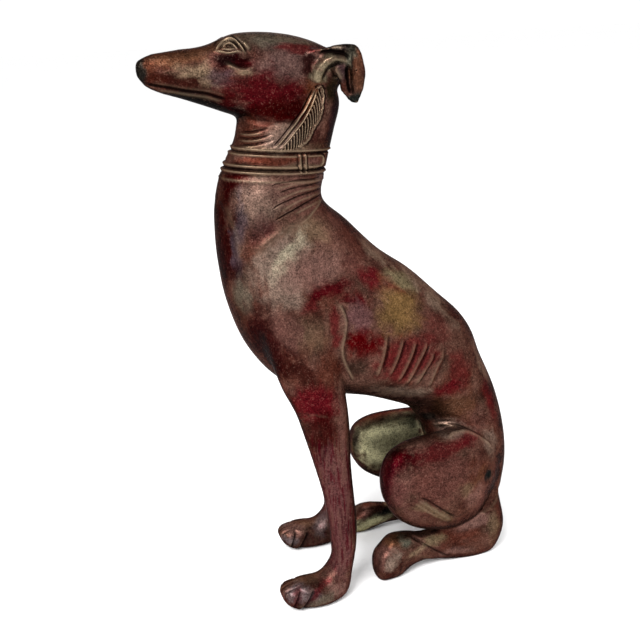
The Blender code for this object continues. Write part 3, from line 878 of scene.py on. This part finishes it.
# The patina, with tones for painted highlights, painted shade and painted light among them. Colours as
# red, green, blue from 0 to 1, as they look on a screen.
patina = {
    "base": (0.47, 0.33, 0.285),
    # painted shade: the dark tone that downward and inward faces are pulled toward
    "undersideShade": (0.24, 0.17, 0.14),
    "crevice": (0.09, 0.06, 0.06),
    "wear": (0.72, 0.62, 0.51),
    "fleck": (0.74, 0.64, 0.56),
    "backPale": (0.66, 0.55, 0.48),
    "blackGreen": (0.13, 0.16, 0.15),
    "blackBrown": (0.11, 0.08, 0.08),
    "blackRed": (0.18, 0.04, 0.05),
    "blood": (0.36, 0.01, 0.055),
    "blueGrey": (0.38, 0.33, 0.37),
    "brick": (0.43, 0.14, 0.15),
    "cherry": (0.41, 0.075, 0.12),
    "cream": (0.59, 0.53, 0.43),
    "crimson": (0.34, 0.02, 0.085),
    "darkMauve": (0.28, 0.21, 0.22),
    "greenGrey": (0.42, 0.44, 0.38),
    "greyKhaki": (0.48, 0.44, 0.38),
    "greyMauve": (0.55, 0.48, 0.48),
    # painted highlight tone
    "paintedHighlight": (0.86, 0.8, 0.68),
    "khaki": (0.51, 0.41, 0.325),
    "khakiBrown": (0.42, 0.28, 0.2),
    "legRose": (0.47, 0.29, 0.29),
    "maroon": (0.22, 0.07, 0.06),
    "mauveBrown": (0.475, 0.36, 0.34),
    "mustard": (0.56, 0.43, 0.27),
    "olive": (0.62, 0.56, 0.43),
    "oliveDark": (0.18, 0.15, 0.09),
    "orange": (0.4, 0.23, 0.12),
    "orangeBrown": (0.45, 0.29, 0.22),
    "oxblood": (0.24, 0.03, 0.035),
    # pale patina, also laid as painted highlight by several spots
    "paleAndPaintedHighlight": (0.64, 0.54, 0.48),
    # olive patina brightened as painted light
    "oliveAndPaintedLight": (0.93, 0.9, 0.7),
    "pink": (0.60, 0.44, 0.40),
    "plum": (0.32, 0.15, 0.17),
    "plumRed": (0.35, 0.05, 0.12),
    "purpleBlack": (0.20, 0.13, 0.17),
    "redBrown": (0.32, 0.16, 0.12),
    "rose": (0.51, 0.35, 0.315),
    "roseBrown": (0.455, 0.285, 0.255),
    "rust": (0.41, 0.21, 0.16),
    "slate": (0.26, 0.19, 0.16),
    "tan": (0.63, 0.52, 0.42),
    "umber": (0.31, 0.23, 0.19),
    "violet": (0.31, 0.21, 0.28),
    "violetGrey": (0.48, 0.33, 0.33),
    "wine": (0.22, 0.012, 0.05),
}
# How it is laid on, in grid units and shares. Tone scales how bright all colours are, the
# spots' edges are ragged at two sizes, and on the far side the spots drift a little.
brush = {
    "tone": 0.40,
    "edge": 0.36,
    "edgeSize": 15,
    "fringe": 0.34,
    "fringeSize": 5,
    "drift": 9,
    "driftSize": 60,
    "bend": 6,
    "bendSize": 26,
    "legRear": 110,
    "legTop": 330,
    "leastDeep": 14.0,
    "reach": 1.55,
    "softness": 0.95,
}
# Broad patches under the spots: tone, size, and where in the noise they are read.
underPaint = (("roseBrown", 45, 0), ("rust", 38, 90), ("umber", 42, 180), ("maroon", 30, 260))
# Soft spots of colour: x, distance from the middle, z, two reaches, tilt in degrees, tone, strength.
# Those whose names start with far lie on the far side only, and the others on both sides.
spots = {
    "skullTop": (12, 22, 711, 68, 12, 0, "greyKhaki", 0.85),
    "muzzleTop": (-99, 14, 698, 55, 10, 12, "khakiBrown", 0.80),
    # painted highlight along the side of the muzzle
    "muzzleSideHighlight": (-80, 22, 674, 30, 12, -3, "tan", 0.95),
    "muzzleLow": (-111, 18, 669, 47, 8, -12, "maroon", 0.95),
    "noseSide": (-134, 14, 682, 13, 13, 0, "redBrown", 0.70),
    "noseTip": (-144, 9, 684, 6, 15, 0, "blackGreen", 0.85),
    "lips": (-76, 21, 654, 47, 4, -9, "maroon", 0.80),
    # painted shade under the jaw
    "jawUnderShade": (-69, 11, 641, 68, 9, -14, "blackBrown", 1.00),
    "violetCheek": (-59, 28, 675, 13, 10, 0, "violet", 0.70),
    "browBack": (-25, 28, 706, 10, 13, 0, "umber", 0.60),
    "headSide": (14, 38, 686, 36, 20, 0, "mauveBrown", 0.80),
    "eyeBack": (-21, 31, 698, 10, 10, 0, "maroon", 0.70),
    "redStreak": (32, 31, 698, 26, 5, -8, "brick", 0.85),
    "cheek": (-10, 39, 652, 47, 22, -5, "crimson", 0.95),
    "cheekLow": (12, 37, 632, 39, 12, 0, "oxblood", 1.00),
    # dark patina and painted shade in the hollow under the eye
    "underEye": (-41, 27, 688, 24, 9, -12, "blackRed", 1.00),
    "underLid": (-52, 25, 693, 11, 4, -10, "blackBrown", 0.60),
    "napeEdge": (58, 30, 540, 8, 18, 0, "greyMauve", 0.50),
    "cheekRidge": (-34, 34, 675, 10, 3, 5, "tan", 0.80),
    "mouthCorner": (-55, 25, 649, 18, 8, -15, "maroon", 0.60),
    "orangeEar": (44, 36, 647, 10, 21, 0, "orange", 0.60),
    "neckFront": (6, 39, 600, 22, 16, 0, "paleAndPaintedHighlight", 0.60),
    "throat": (-30, 23, 606, 17, 18, 0, "redBrown", 0.80),
    "neckRed": (50, 36, 593, 10, 18, 0, "oxblood", 0.60),
    "neckBack": (77, 18, 609, 10, 39, -8, "purpleBlack", 0.85),
    "earCrest": (83, 50, 700, 29, 4, 5, "greyKhaki", 0.80),
    "earFlap": (95, 58, 677, 8, 26, -5, "orangeBrown", 0.85),
    "earGreen": (87, 55, 688, 5, 13, -10, "greenGrey", 0.75),
    "earTip": (92, 54, 639, 9, 10, 0, "blackGreen", 0.95),
    # painted shade in the crease at the root of the ear
    "earRootShade": (46, 40, 676, 6, 15, 0, "blackRed", 0.90),
    # painted shadow in the band between the ear's crest and its arched rim
    "earBand": (72, 49, 694, 18, 5, 10, "blackBrown", 1.00),
    "earRimLow": (54, 43, 665, 5, 10, 70, "cream", 0.95),
    "earRimMid": (60, 48, 678, 8, 8, 0, "cream", 0.90),
    "earRimTop": (73, 52, 685, 10, 5, -10, "cream", 0.90),
    "earLobe": (77, 49, 673, 8, 10, 0, "darkMauve", 0.90),
    # painted shade on the neck under the ear's arch
    "earUnder": (75, 27, 654, 9, 16, 0, "oliveDark", 0.95),
    "collarTop": (-4, 42, 588, 62, 4, 0, "khaki", 0.60),
    "strap": (-2, 43, 576, 55, 5, 0, "rust", 0.85),
    "strapDark": (-43, 27, 571, 20, 4, 0, "blackBrown", 0.50),
    "strapTip": (45, 36, 570, 12, 6, 0, "rose", 0.70),
    "collarLow": (-6, 44, 564, 60, 4, 0, "khaki", 0.60),
    "underCollar": (-50, 29, 553, 30, 16, 0, "oxblood", 1.00),
    # painted highlight on the side of the neck
    "neckHighlight": (-30, 48, 532, 29, 26, 30, "paleAndPaintedHighlight", 0.45),
    "nape": (22, 46, 540, 34, 18, 0, "rose", 0.65),
    # painted shade along the front edge of the neck and chest
    "neckEdgeShade": (-70, 13, 506, 6, 57, 0, "redBrown", 0.70),
    "chestStripTop": (-66, 19, 519, 5, 23, -8, "oxblood", 0.85),
    "chestStrip": (-64, 28, 472, 9, 44, -10, "oxblood", 0.95),
    "blueBand": (-53, 40, 490, 5, 44, -8, "blueGrey", 0.60),
    "plumPatch": (-28, 54, 497, 23, 17, -10, "plum", 0.50),
    "shoulderKhaki": (32, 55, 493, 29, 13, 15, "khaki", 0.80),
    # painted highlight: a broad sheen on the shoulder and a bright streak along its ridge
    "shoulderHighlight": (-11, 63, 462, 36, 20, 42, "paleAndPaintedHighlight", 0.85),
    "shoulderShine": (-4, 64, 463, 8, 33, -41, "paintedHighlight", 0.85),
    "shoulderLow": (-12, 68, 426, 26, 20, 0, "paleAndPaintedHighlight", 0.75),
    "chestRed": (-58, 36, 445, 10, 12, 0, "maroon", 0.60),
    "chestGrey": (-54, 40, 418, 12, 20, 0, "greyKhaki", 0.70),
    "pinkShoulder": (26, 66, 446, 34, 22, 10, "pink", 0.75),
    "backFront": (80, 46, 474, 49, 16, -45, "roseBrown", 0.50),
    "backPeak": (68, 37, 497, 9, 12, 0, "rose", 0.70),
    "darkBack": (82, 59, 446, 16, 16, 0, "roseBrown", 0.50),
    "arcLeft": (22, 71, 410, 15, 8, 45, "brick", 0.80),
    "arcMid": (46, 69, 421, 28, 8, 8, "crimson", 0.95),
    "arcRight": (79, 69, 407, 24, 6, -5, "crimson", 0.95),
    "arcUpper": (104, 59, 425, 17, 12, -30, "cherry", 0.90),
    "flankOchre": (140, 61, 385, 31, 32, -15, "mustard", 0.90),
    "backUpper": (118, 30, 452, 24, 10, -38, "backPale", 0.85),
    "flankTop": (154, 43, 413, 26, 10, -25, "olive", 0.85),
    "redTrail": (138, 55, 405, 22, 4, -25, "brick", 0.60),
    "backEdge": (178, 13, 408, 44, 12, -35, "backPale", 0.95),
    "backLow": (200, 36, 380, 20, 12, -40, "backPale", 0.95),
    "sideViolet": (81, 72, 382, 14, 18, 0, "violetGrey", 0.85),
    "sideCrimson": (88, 71, 347, 23, 16, 0, "blood", 1.00),
    "sideSlate": (80, 70, 317, 13, 12, 0, "slate", 0.85),
    "armRed": (49, 73, 371, 8, 23, 0, "brick", 0.85),
    "armKhaki": (13, 78, 371, 22, 18, 0, "khaki", 0.50),
    "lowChest": (-27, 51, 360, 46, 32, -25, "wine", 0.90),
    "chestSpecks": (-9, 74, 380, 14, 22, 25, "rose", 0.70),
    "chestUnder": (-4, 78, 328, 29, 12, -30, "maroon", 0.75),
    "armLow": (39, 79, 323, 16, 21, 0, "rust", 0.70),
    "ribs": (148, 71, 318, 42, 26, 0, "brick", 0.85),
    "belowRibs": (142, 63, 268, 36, 8, -12, "backPale", 0.90),
    "backEnd": (224, 51, 352, 20, 12, -35, "backPale", 0.85),
    "redFlank": (227, 54, 283, 16, 26, 20, "brick", 0.70),
    "redFlankLow": (211, 57, 261, 18, 10, -15, "cherry", 0.85),
    "backMiddle": (192, 54, 345, 24, 16, -35, "brick", 0.45),
    "redBackEdge": (276, 43, 230, 8, 23, 10, "brick", 0.90),
    "rumpEdge": (271, 30, 279, 6, 31, 25, "backPale", 0.80),
    "loin": (218, 49, 230, 34, 18, 0, "khakiBrown", 0.75),
    # painted highlight on the loin
    "loinHighlight": (208, 52, 204, 34, 8, -20, "paleAndPaintedHighlight", 0.60),
    "haunchPale": (269, 64, 174, 12, 20, 0, "paleAndPaintedHighlight", 0.70),
    "foldDark": (191, 28, 212, 10, 8, -30, "blackGreen", 0.80),
    "legCrimson": (20, 84, 281, 29, 23, 0, "cherry", 0.95),
    "legCrimsonLow": (24, 83, 245, 22, 26, 0, "oxblood", 0.85),
    "legMauve": (23, 81, 203, 18, 20, 0, "plum", 0.70),
    "legPink": (36, 81, 139, 20, 65, -5, "legRose", 0.85),
    "legViolet": (51, 85, 116, 8, 39, -3, "plum", 0.60),
    "legStreak": (51, 82, 228, 4, 65, -3, "rose", 0.65),
    "legLow": (38, 82, 64, 17, 31, 0, "legRose", 0.80),
    "heel": (36, 95, 22, 13, 10, 0, "pink", 0.80),
    "pawTop": (-7, 73, 36, 22, 6, 0, "khaki", 0.50),
    "pawFacets": (-19, 92, 29, 21, 10, -20, "greyMauve", 0.80),
    "pawFront": (-33, 70, 33, 6, 12, 0, "khakiBrown", 0.70),
    "pawRed": (10, 93, 30, 14, 4, 10, "cherry", 0.60),
    "toeRedOne": (-24, 92, 18, 3, 14, -25, "cherry", 0.70),
    "toeRedTwo": (-9, 96, 17, 3.5, 16, -34, "cherry", 0.75),
    "pawLow": (5, 100, 13, 21, 6, 5, "greyKhaki", 0.70),
    "farPaw": (15, 52, 33, 17, 12, 0, "pink", 0.70),
    "farPawToes": (7, 42, 22, 12, 6, 0, "greyMauve", 0.90),
    "farAnkle": (55, 47, 36, 8, 18, -10, "greyMauve", 0.60),
    "farLeg": (28, 73, 144, 6, 29, 0, "maroon", 0.80),
    # painted light: the far thigh sits in shade, so its olive is painted brighter
    "farThigh": (158, 30, 154, 50, 30, -5, "oliveAndPaintedLight", 1.00),
    "farThighGreen": (189, 32, 169, 18, 13, 0, "oliveAndPaintedLight", 0.90),
    "farThighTop": (146, 60, 186, 29, 10, 10, "rust", 0.80),
    "farThighFront": (115, 55, 164, 6, 21, 0, "darkMauve", 0.70),
    "farThighDark": (200, 24, 186, 20, 22, -30, "blackGreen", 0.95),
    # painted light: brightened olive on the far foot
    "farFoot": (137, 47, 18, 26, 10, 12, "oliveAndPaintedLight", 0.85),
    "farFootTop": (161, 48, 32, 21, 6, 5, "blackGreen", 0.90),
    "farFootFront": (124, 50, 35, 6, 12, -20, "rose", 0.80),
    "thighCentre": (171, 98, 152, 47, 34, 0, "roseBrown", 0.85),
    "kneeTop": (124, 84, 186, 20, 16, 0, "wine", 1.00),
    "kneeSide": (112, 83, 155, 13, 33, 0, "plumRed", 0.90),
    "kneeLight": (121, 96, 147, 10, 26, -15, "rose", 0.60),
    "thighTop": (185, 87, 186, 42, 9, 8, "crimson", 0.75),
    "thighBright": (232, 75, 190, 21, 6, 5, "cherry", 0.70),
    "thighOlive": (222, 92, 130, 12, 10, 0, "khaki", 0.80),
    "pitRing": (245, 84, 139, 10, 10, 0, "khakiBrown", 0.70),
    "pit": (259, 76, 131, 7, 8, 0, "blackGreen", 1.00),
    "thighLow": (150, 93, 107, 20, 12, -30, "rose", 0.60),
    "leaf": (178, 98, 101, 27, 6, -38, "khaki", 0.95),
    "leafLeft": (150, 99, 118, 10, 9, 0, "khaki", 0.80),
    "thighRight": (241, 84, 106, 17, 21, 0, "pink", 0.85),
    "contact": (244, 64, 57, 29, 10, 15, "pink", 0.80),
    "hock": (275, 69, 47, 10, 20, 0, "khaki", 0.85),
    "footSide": (211, 68, 41, 35, 10, -5, "rust", 0.80),
    "footGreen": (183, 65, 43, 14, 8, 0, "olive", 0.60),
    "footLow": (218, 68, 17, 31, 5, 0, "pink", 0.80),
    "toesTop": (123, 67, 58, 20, 10, 0, "khakiBrown", 0.85),
    "toesGreen": (138, 70, 52, 8, 6, 0, "greenGrey", 0.70),
    "toesFront": (104, 74, 37, 13, 16, 0, "rose", 0.80),
    # painted highlight on the hind toes
    "toesShine": (116, 79, 32, 8, 13, -20, "paleAndPaintedHighlight", 0.90),
    "toesSide": (160, 69, 37, 20, 5, 15, "tan", 0.80),
}


def cloud(points, size):
    # smooth noise between about -1 and 1, at a size in grid units
    return np.array([noise.fractal(Vector(point) / size, 1.0, 2.0, 3) for point in points])


def paintPatina(points, normals):
    # lay the spots one over another, as with a soft brush
    toLinear = {name: brush["tone"] * np.array(colour) ** 2.2 for name, colour in patina.items()}
    colour = np.tile(toLinear["base"], (len(points), 1))
    # painted shade: faces turned down, and faces turned in toward the middle, are darkened partly for the
    # patina's darker underside and partly as shade
    facingInShade = smoothStep(-np.sign(points[:, 1]) * normals[:, 1] - 0.1)
    facingDownShade = smoothStep((-normals[:, 2] - 0.25) / 0.6)
    share = np.maximum(facingInShade * 0.7, facingDownShade * 0.4)[:, None]
    for tone, size, place in underPaint:
        patch = 0.6 * smoothStep((cloud(points + place, size) - 0.05) / 0.5)[:, None]
        colour = colour * (1 - patch) + toLinear[tone] * patch
    colour = colour * (1 - share) + toLinear["undersideShade"] * share
    ragged = brush["edge"] * cloud(points, brush["edgeSize"])
    ragged += brush["fringe"] * cloud(points + 300, brush["fringeSize"])
    drift = brush["drift"] * cloud(points + 700, brush["driftSize"])
    legShift, legIn = frontLegShift(points)
    far = points[:, 1] > 0
    bent = points.copy()
    bent[:, 0] += brush["bend"] * cloud(points + 50, brush["bendSize"])
    bent[:, 2] += brush["bend"] * cloud(points + 150, brush["bendSize"])
    # the near side's spots are mirrored to the far side, follow its leg and drift a little
    mirrored = bent.copy()
    onLeg = points[:, 0] < brush["legRear"]
    mirrored[:, 0] -= legShift * onLeg * (points[:, 2] < brush["legTop"])
    mirrored[:, 1] = np.abs(mirrored[:, 1] + legIn * onLeg)
    mirrored[:, 0] += np.where(far, drift, 0)
    mirrored[:, 2] += np.where(far, 0.7 * drift, 0)
    for name, (x, out, z, across, along, tilt, tone, strength) in spots.items():
        onlyFar = name.startswith("far")
        place = bent if onlyFar else mirrored
        angle = math.radians(tilt)
        dx = place[:, 0] - x
        dz = place[:, 2] - z
        sideways = dx * math.cos(angle) + dz * math.sin(angle)
        upward = dz * math.cos(angle) - dx * math.sin(angle)
        deep = max(brush["leastDeep"], 0.7 * max(across, along))
        away = np.sqrt((sideways / across) ** 2 + (upward / along) ** 2
                       + ((place[:, 1] - out) / deep) ** 2)
        share = strength * smoothStep((brush["reach"] - away + ragged) / brush["softness"])[:, None]
        if onlyFar:
            share = share * far[:, None]
        colour = colour * (1 - share) + toLinear[tone] * share
    return colour


def bumpiness(mesh, points, normals, rounds):
    # how sharply the surface bends at each vertex, one over its radius: ridges above zero
    ends = np.empty(len(mesh.edges) * 2, int)
    mesh.edges.foreach_get("vertices", ends)
    first, second = ends.reshape(-1, 2).T
    count = np.bincount(ends, minlength=len(points))[:, None]
    lengths = np.linalg.norm(points[first] - points[second], axis=1) ** 2
    cell = np.bincount(first, lengths, len(points)) + np.bincount(second, lengths, len(points))
    cell /= count[:, 0]
    smooth = points.copy()
    for turn in range(rounds):
        total = np.zeros_like(smooth)
        for axis in range(3):
            total[:, axis] = (np.bincount(first, smooth[second, axis], len(points))
                              + np.bincount(second, smooth[first, axis], len(points)))
        smooth = 0.5 * smooth + 0.5 * total / count
    return 4 * np.sum((points - smooth) * normals, axis=1) / (rounds * cell)


# Hollows darken and crests wear from these bends on, and the front legs are streaked. The darkening is
# dark patina in carved lines and hollows, and painted shade in folds and where parts meet.
wear = {
    "hollowFrom": 0.06,
    "hollowGain": 3.0,
    "crestFrom": 0.13,
    "crestGain": 2.2,
    "streaksTop": 260,
    "streaksFoot": 25,
    "streaksRear": 100,
}

# flat soles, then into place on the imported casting
points, normals = readMesh(whippet.data)
onSole = points[:, 2] < dog["soleLevel"] + dog["soleReach"]
points[:, 2] = np.where(onSole, dog["soleLevel"], points[:, 2])
bend = bumpiness(whippet.data, points, normals, 5)
# dark patina in carved lines and hollows, and painted shade in folds and where the legs meet the body
hollow = np.clip(np.maximum(marks.hollow, (-bend - wear["hollowFrom"]) * wear["hollowGain"]), 0, 1)
crest = np.clip(np.maximum(marks.crest, (bend - wear["crestFrom"]) * wear["crestGain"]), 0, 1)
legs = smoothStep((wear["streaksTop"] - points[:, 2]) / 60)
legs *= 0.35 + 0.65 * smoothStep((points[:, 2] - wear["streaksFoot"]) / 50)
legs *= points[:, 0] < wear["streaksRear"]
for name, values in (("hollow", hollow), ("crest", crest), ("legs", legs)):
    field = whippet.data.attributes.new(name, "FLOAT", "POINT")
    field.data.foreach_set("value", values.astype(np.float32))
coat = np.ones((len(points), 4), np.float32)
coat[:, :3] = paintPatina(points, normals)
field = whippet.data.attributes.new("patina", "FLOAT_COLOR", "POINT")
field.data.foreach_set("color", coat.ravel())
print("patina painted:", len(spots), "spots")
castLow, castHigh = (np.array(corner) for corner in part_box("whippet_casting"))
points *= unit
low = points.min(axis=0)
high = points.max(axis=0)
shift = (castLow + castHigh) / 2 - (low + high) / 2
shift[2] = castLow[2] - low[2]
writeMesh(whippet.data, points + shift)
print("set on the casting, moved by", shift)
makeActive(whippet)
bpy.ops.object.shade_smooth()
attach(whippet, "root")
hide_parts("whippet_casting")

bronzeFinish = {
    "metallic": 0.9,
    "specular": 0.2,
    "edgeTint": (0.25, 0.19, 0.18, 1.0),
    "roughness": 0.38,
    "mottleSize": 70,
    "speckSize": 210,
    "grainSize": 560,
    "streakSize": 330,
    "bumpDepth": 0.0009,
    "bumpStrength": 0.55,
}


class Shade:
    # wraps one shader output, so that sums on it read as sums
    def __init__(self, tree, socket):
        self.tree = tree
        self.socket = socket

    def node(self, kind, settings, values, output=0):
        made = self.tree.nodes.new(kind)
        for name, value in settings.items():
            setattr(made, name, value)
        for key, value in values.items():
            if isinstance(value, Shade):
                self.tree.links.new(value.socket, made.inputs[key])
            else:
                made.inputs[key].default_value = value
        return Shade(self.tree, made.outputs[output])

    def sum(self, operation, first, second):
        return self.node("ShaderNodeMath", {"operation": operation}, {0: first, 1: second})

    def __add__(self, other):
        return self.sum("ADD", self, other)

    def __sub__(self, other):
        return self.sum("SUBTRACT", self, other)

    def __mul__(self, other):
        return self.sum("MULTIPLY", self, other)

    def __radd__(self, other):
        return self.sum("ADD", other, self)

    def __rsub__(self, other):
        return self.sum("SUBTRACT", other, self)

    def __rmul__(self, other):
        return self.sum("MULTIPLY", other, self)

    def between(self, low, high):
        # 0 below low, 1 above high, smooth between
        return self.node("ShaderNodeMapRange", {"interpolation_type": "SMOOTHSTEP"},
                         {"Value": self, "From Min": low, "From Max": high})

    def toward(self, colour, share):
        # this colour, moved toward another by a share
        return self.node("ShaderNodeMix", {"data_type": "RGBA"}, {0: share, 6: self, 7: colour}, 2)

    def scaled(self, amount):
        # this colour, lighter or darker
        return self.node("ShaderNodeVectorMath", {"operation": "SCALE"}, {0: self, 3: amount})

    def noise(self, scale, detail, rough, twist=0.0):
        return self.node("ShaderNodeTexNoise", {},
                         {"Vector": self, "Scale": scale, "Detail": detail, "Roughness": rough,
                          "Distortion": twist})


def linear(name):
    return tuple(brush["tone"] * channel ** 2.2 for channel in patina[name]) + (1.0,)


bronze = bpy.data.materials.new("patinated_bronze")
bronze.use_nodes = True
tree = bronze.node_tree
surface = tree.nodes["Principled BSDF"]
surface.inputs["Metallic"].default_value = bronzeFinish["metallic"]
surface.inputs["Specular IOR Level"].default_value = bronzeFinish["specular"]
surface.inputs["Specular Tint"].default_value = bronzeFinish["edgeTint"]
start = Shade(tree, None)
place = start.node("ShaderNodeTexCoord", {}, {}, 3)
painted = start.node("ShaderNodeAttribute", {"attribute_name": "patina"}, {}, 0)
hollowShade = start.node("ShaderNodeAttribute", {"attribute_name": "hollow"}, {}, 2)
crestShade = start.node("ShaderNodeAttribute", {"attribute_name": "crest"}, {}, 2)
legShade = start.node("ShaderNodeAttribute", {"attribute_name": "legs"}, {}, 2)
upright = place.node("ShaderNodeVectorMath", {"operation": "MULTIPLY"}, {0: place, 1: (1.0, 1.0, 0.09)})
mottle = place.noise(bronzeFinish["mottleSize"], 6, 0.62, 0.5)
specks = place.noise(bronzeFinish["speckSize"], 5, 0.65)
grain = place.noise(bronzeFinish["grainSize"], 4, 0.7)
streaks = upright.noise(bronzeFinish["streakSize"], 3, 0.6)
colour = painted.scaled(0.82 + 0.36 * mottle.between(0.3, 0.7))
colour = colour.scaled(0.80 + 0.40 * specks.between(0.36, 0.64))
colour = colour.scaled(0.62 + 0.76 * grain.between(0.36, 0.64))
paleFleck = (specks * 0.35 + grain * 0.65).between(0.55, 0.63) * (1 - hollowShade)
colour = colour.toward(linear("fleck"), paleFleck * 0.20)
darkFleck = (mottle * 0.3 + grain * 0.7).between(0.45, 0.38)
colour = colour.toward(linear("crevice"), darkFleck * 0.42)
colour = colour.toward(linear("rose"), streaks.between(0.52, 0.62) * legShade * 0.55)
colour = colour.toward(linear("plumRed"), streaks.between(0.49, 0.38) * legShade * 0.75)
colour = colour.toward(linear("wear"), crestShade * (0.45 + 0.6 * specks))
# hollows pulled toward the crevice tone: dark patina in the lines, painted shade in folds and where parts
# meet
colour = colour.toward(linear("crevice"), (hollowShade * (0.75 + 0.5 * mottle)).between(0.2, 1.0) * 0.9)
rough = bronzeFinish["roughness"] + 0.22 * (mottle - 0.5) + 0.30 * (grain - 0.5) + 0.25 * hollowShade
height = grain * 0.45 + specks * 0.55 + streaks * legShade * 0.8
bump = start.node("ShaderNodeBump", {},
                  {"Height": height, "Distance": bronzeFinish["bumpDepth"],
                   "Strength": bronzeFinish["bumpStrength"]})
tree.links.new(colour.socket, surface.inputs["Base Color"])
tree.links.new(rough.socket, surface.inputs["Roughness"])
tree.links.new(bump.socket, surface.inputs["Normal"])
whippet.data.materials.clear()
whippet.data.materials.append(bronze)
print("patina material made")

# camera at the photograph's viewing angle
view = {
    "place": (-283, -1060, 731),
    "down": 18.38,
    "turn": 17.64,
    "roll": -2.63,
    "lens": 51.19,
    "sensor": 36,
}
down, turn, roll = (math.radians(view[key]) for key in ("down", "turn", "roll"))
forward = Vector((math.sin(turn) * math.cos(down), math.cos(turn) * math.cos(down), -math.sin(down)))
unrolledRight = Vector((math.cos(turn), -math.sin(turn), 0))
unrolledUp = unrolledRight.cross(forward)
right = math.cos(roll) * unrolledRight + math.sin(roll) * unrolledUp
up = math.cos(roll) * unrolledUp - math.sin(roll) * unrolledRight
lensData = bpy.data.cameras.new("camera")
lensData.lens = view["lens"]
lensData.sensor_width = view["sensor"]
camera = bpy.data.objects.new("camera", lensData)
bpy.context.scene.collection.objects.link(camera)
standing = Vector(view["place"]) * unit + Vector(shift)
turning = Matrix((right, up, right.cross(up))).transposed()
camera.matrix_world = Matrix.Translation(standing) @ turning.to_4x4()
bpy.context.scene.camera = camera

# A pale floor, wide enough to reach the horizon. A light is place, aim, size and power.
studio = {
    "floor": 60,
    "paper": (0.95, 0.95, 0.95, 1.0),
    "paperRoughness": 0.9,
    "air": (1.0, 1.0, 1.0, 1.0),
    "airPower": 1.05,
    "key": ((-1.5, -1.5, 2.3), (0, 0, 0.4), 1.3, 110),
    "fill": ((1.8, -1.6, 1.4), (0, 0, 0.35), 1.6, 14),
    "rim": ((0.6, 1.8, 1.8), (0, 0, 0.5), 1.2, 8),
}
deselectAll()
bpy.ops.mesh.primitive_plane_add(size=studio["floor"], location=(0, 0, 0))
floor = bpy.context.object
floor.name = "floor"
paper = bpy.data.materials.new("paper")
paper.use_nodes = True
paperSurface = paper.node_tree.nodes["Principled BSDF"]
paperSurface.inputs["Base Color"].default_value = studio["paper"]
paperSurface.inputs["Roughness"].default_value = studio["paperRoughness"]
floor.data.materials.append(paper)


def addLight(name, place, target, size, power):
    lamp = bpy.data.lights.new(name, "AREA")
    lamp.shape = "SQUARE"
    lamp.size = size
    lamp.energy = power
    holder = bpy.data.objects.new(name, lamp)
    bpy.context.scene.collection.objects.link(holder)
    holder.location = place
    holder.rotation_euler = (Vector(target) - Vector(place)).to_track_quat("-Z", "Y").to_euler()


for name in ("key", "fill", "rim"):
    addLight(name, *studio[name])
world = bpy.data.worlds.new("studio")
world.use_nodes = True
air = world.node_tree.nodes["Background"]
air.inputs["Color"].default_value = studio["air"]
air.inputs["Strength"].default_value = studio["airPower"]
bpy.context.scene.world = world
bpy.context.scene.view_settings.view_transform = "Standard"
print("camera, floor and lights set")
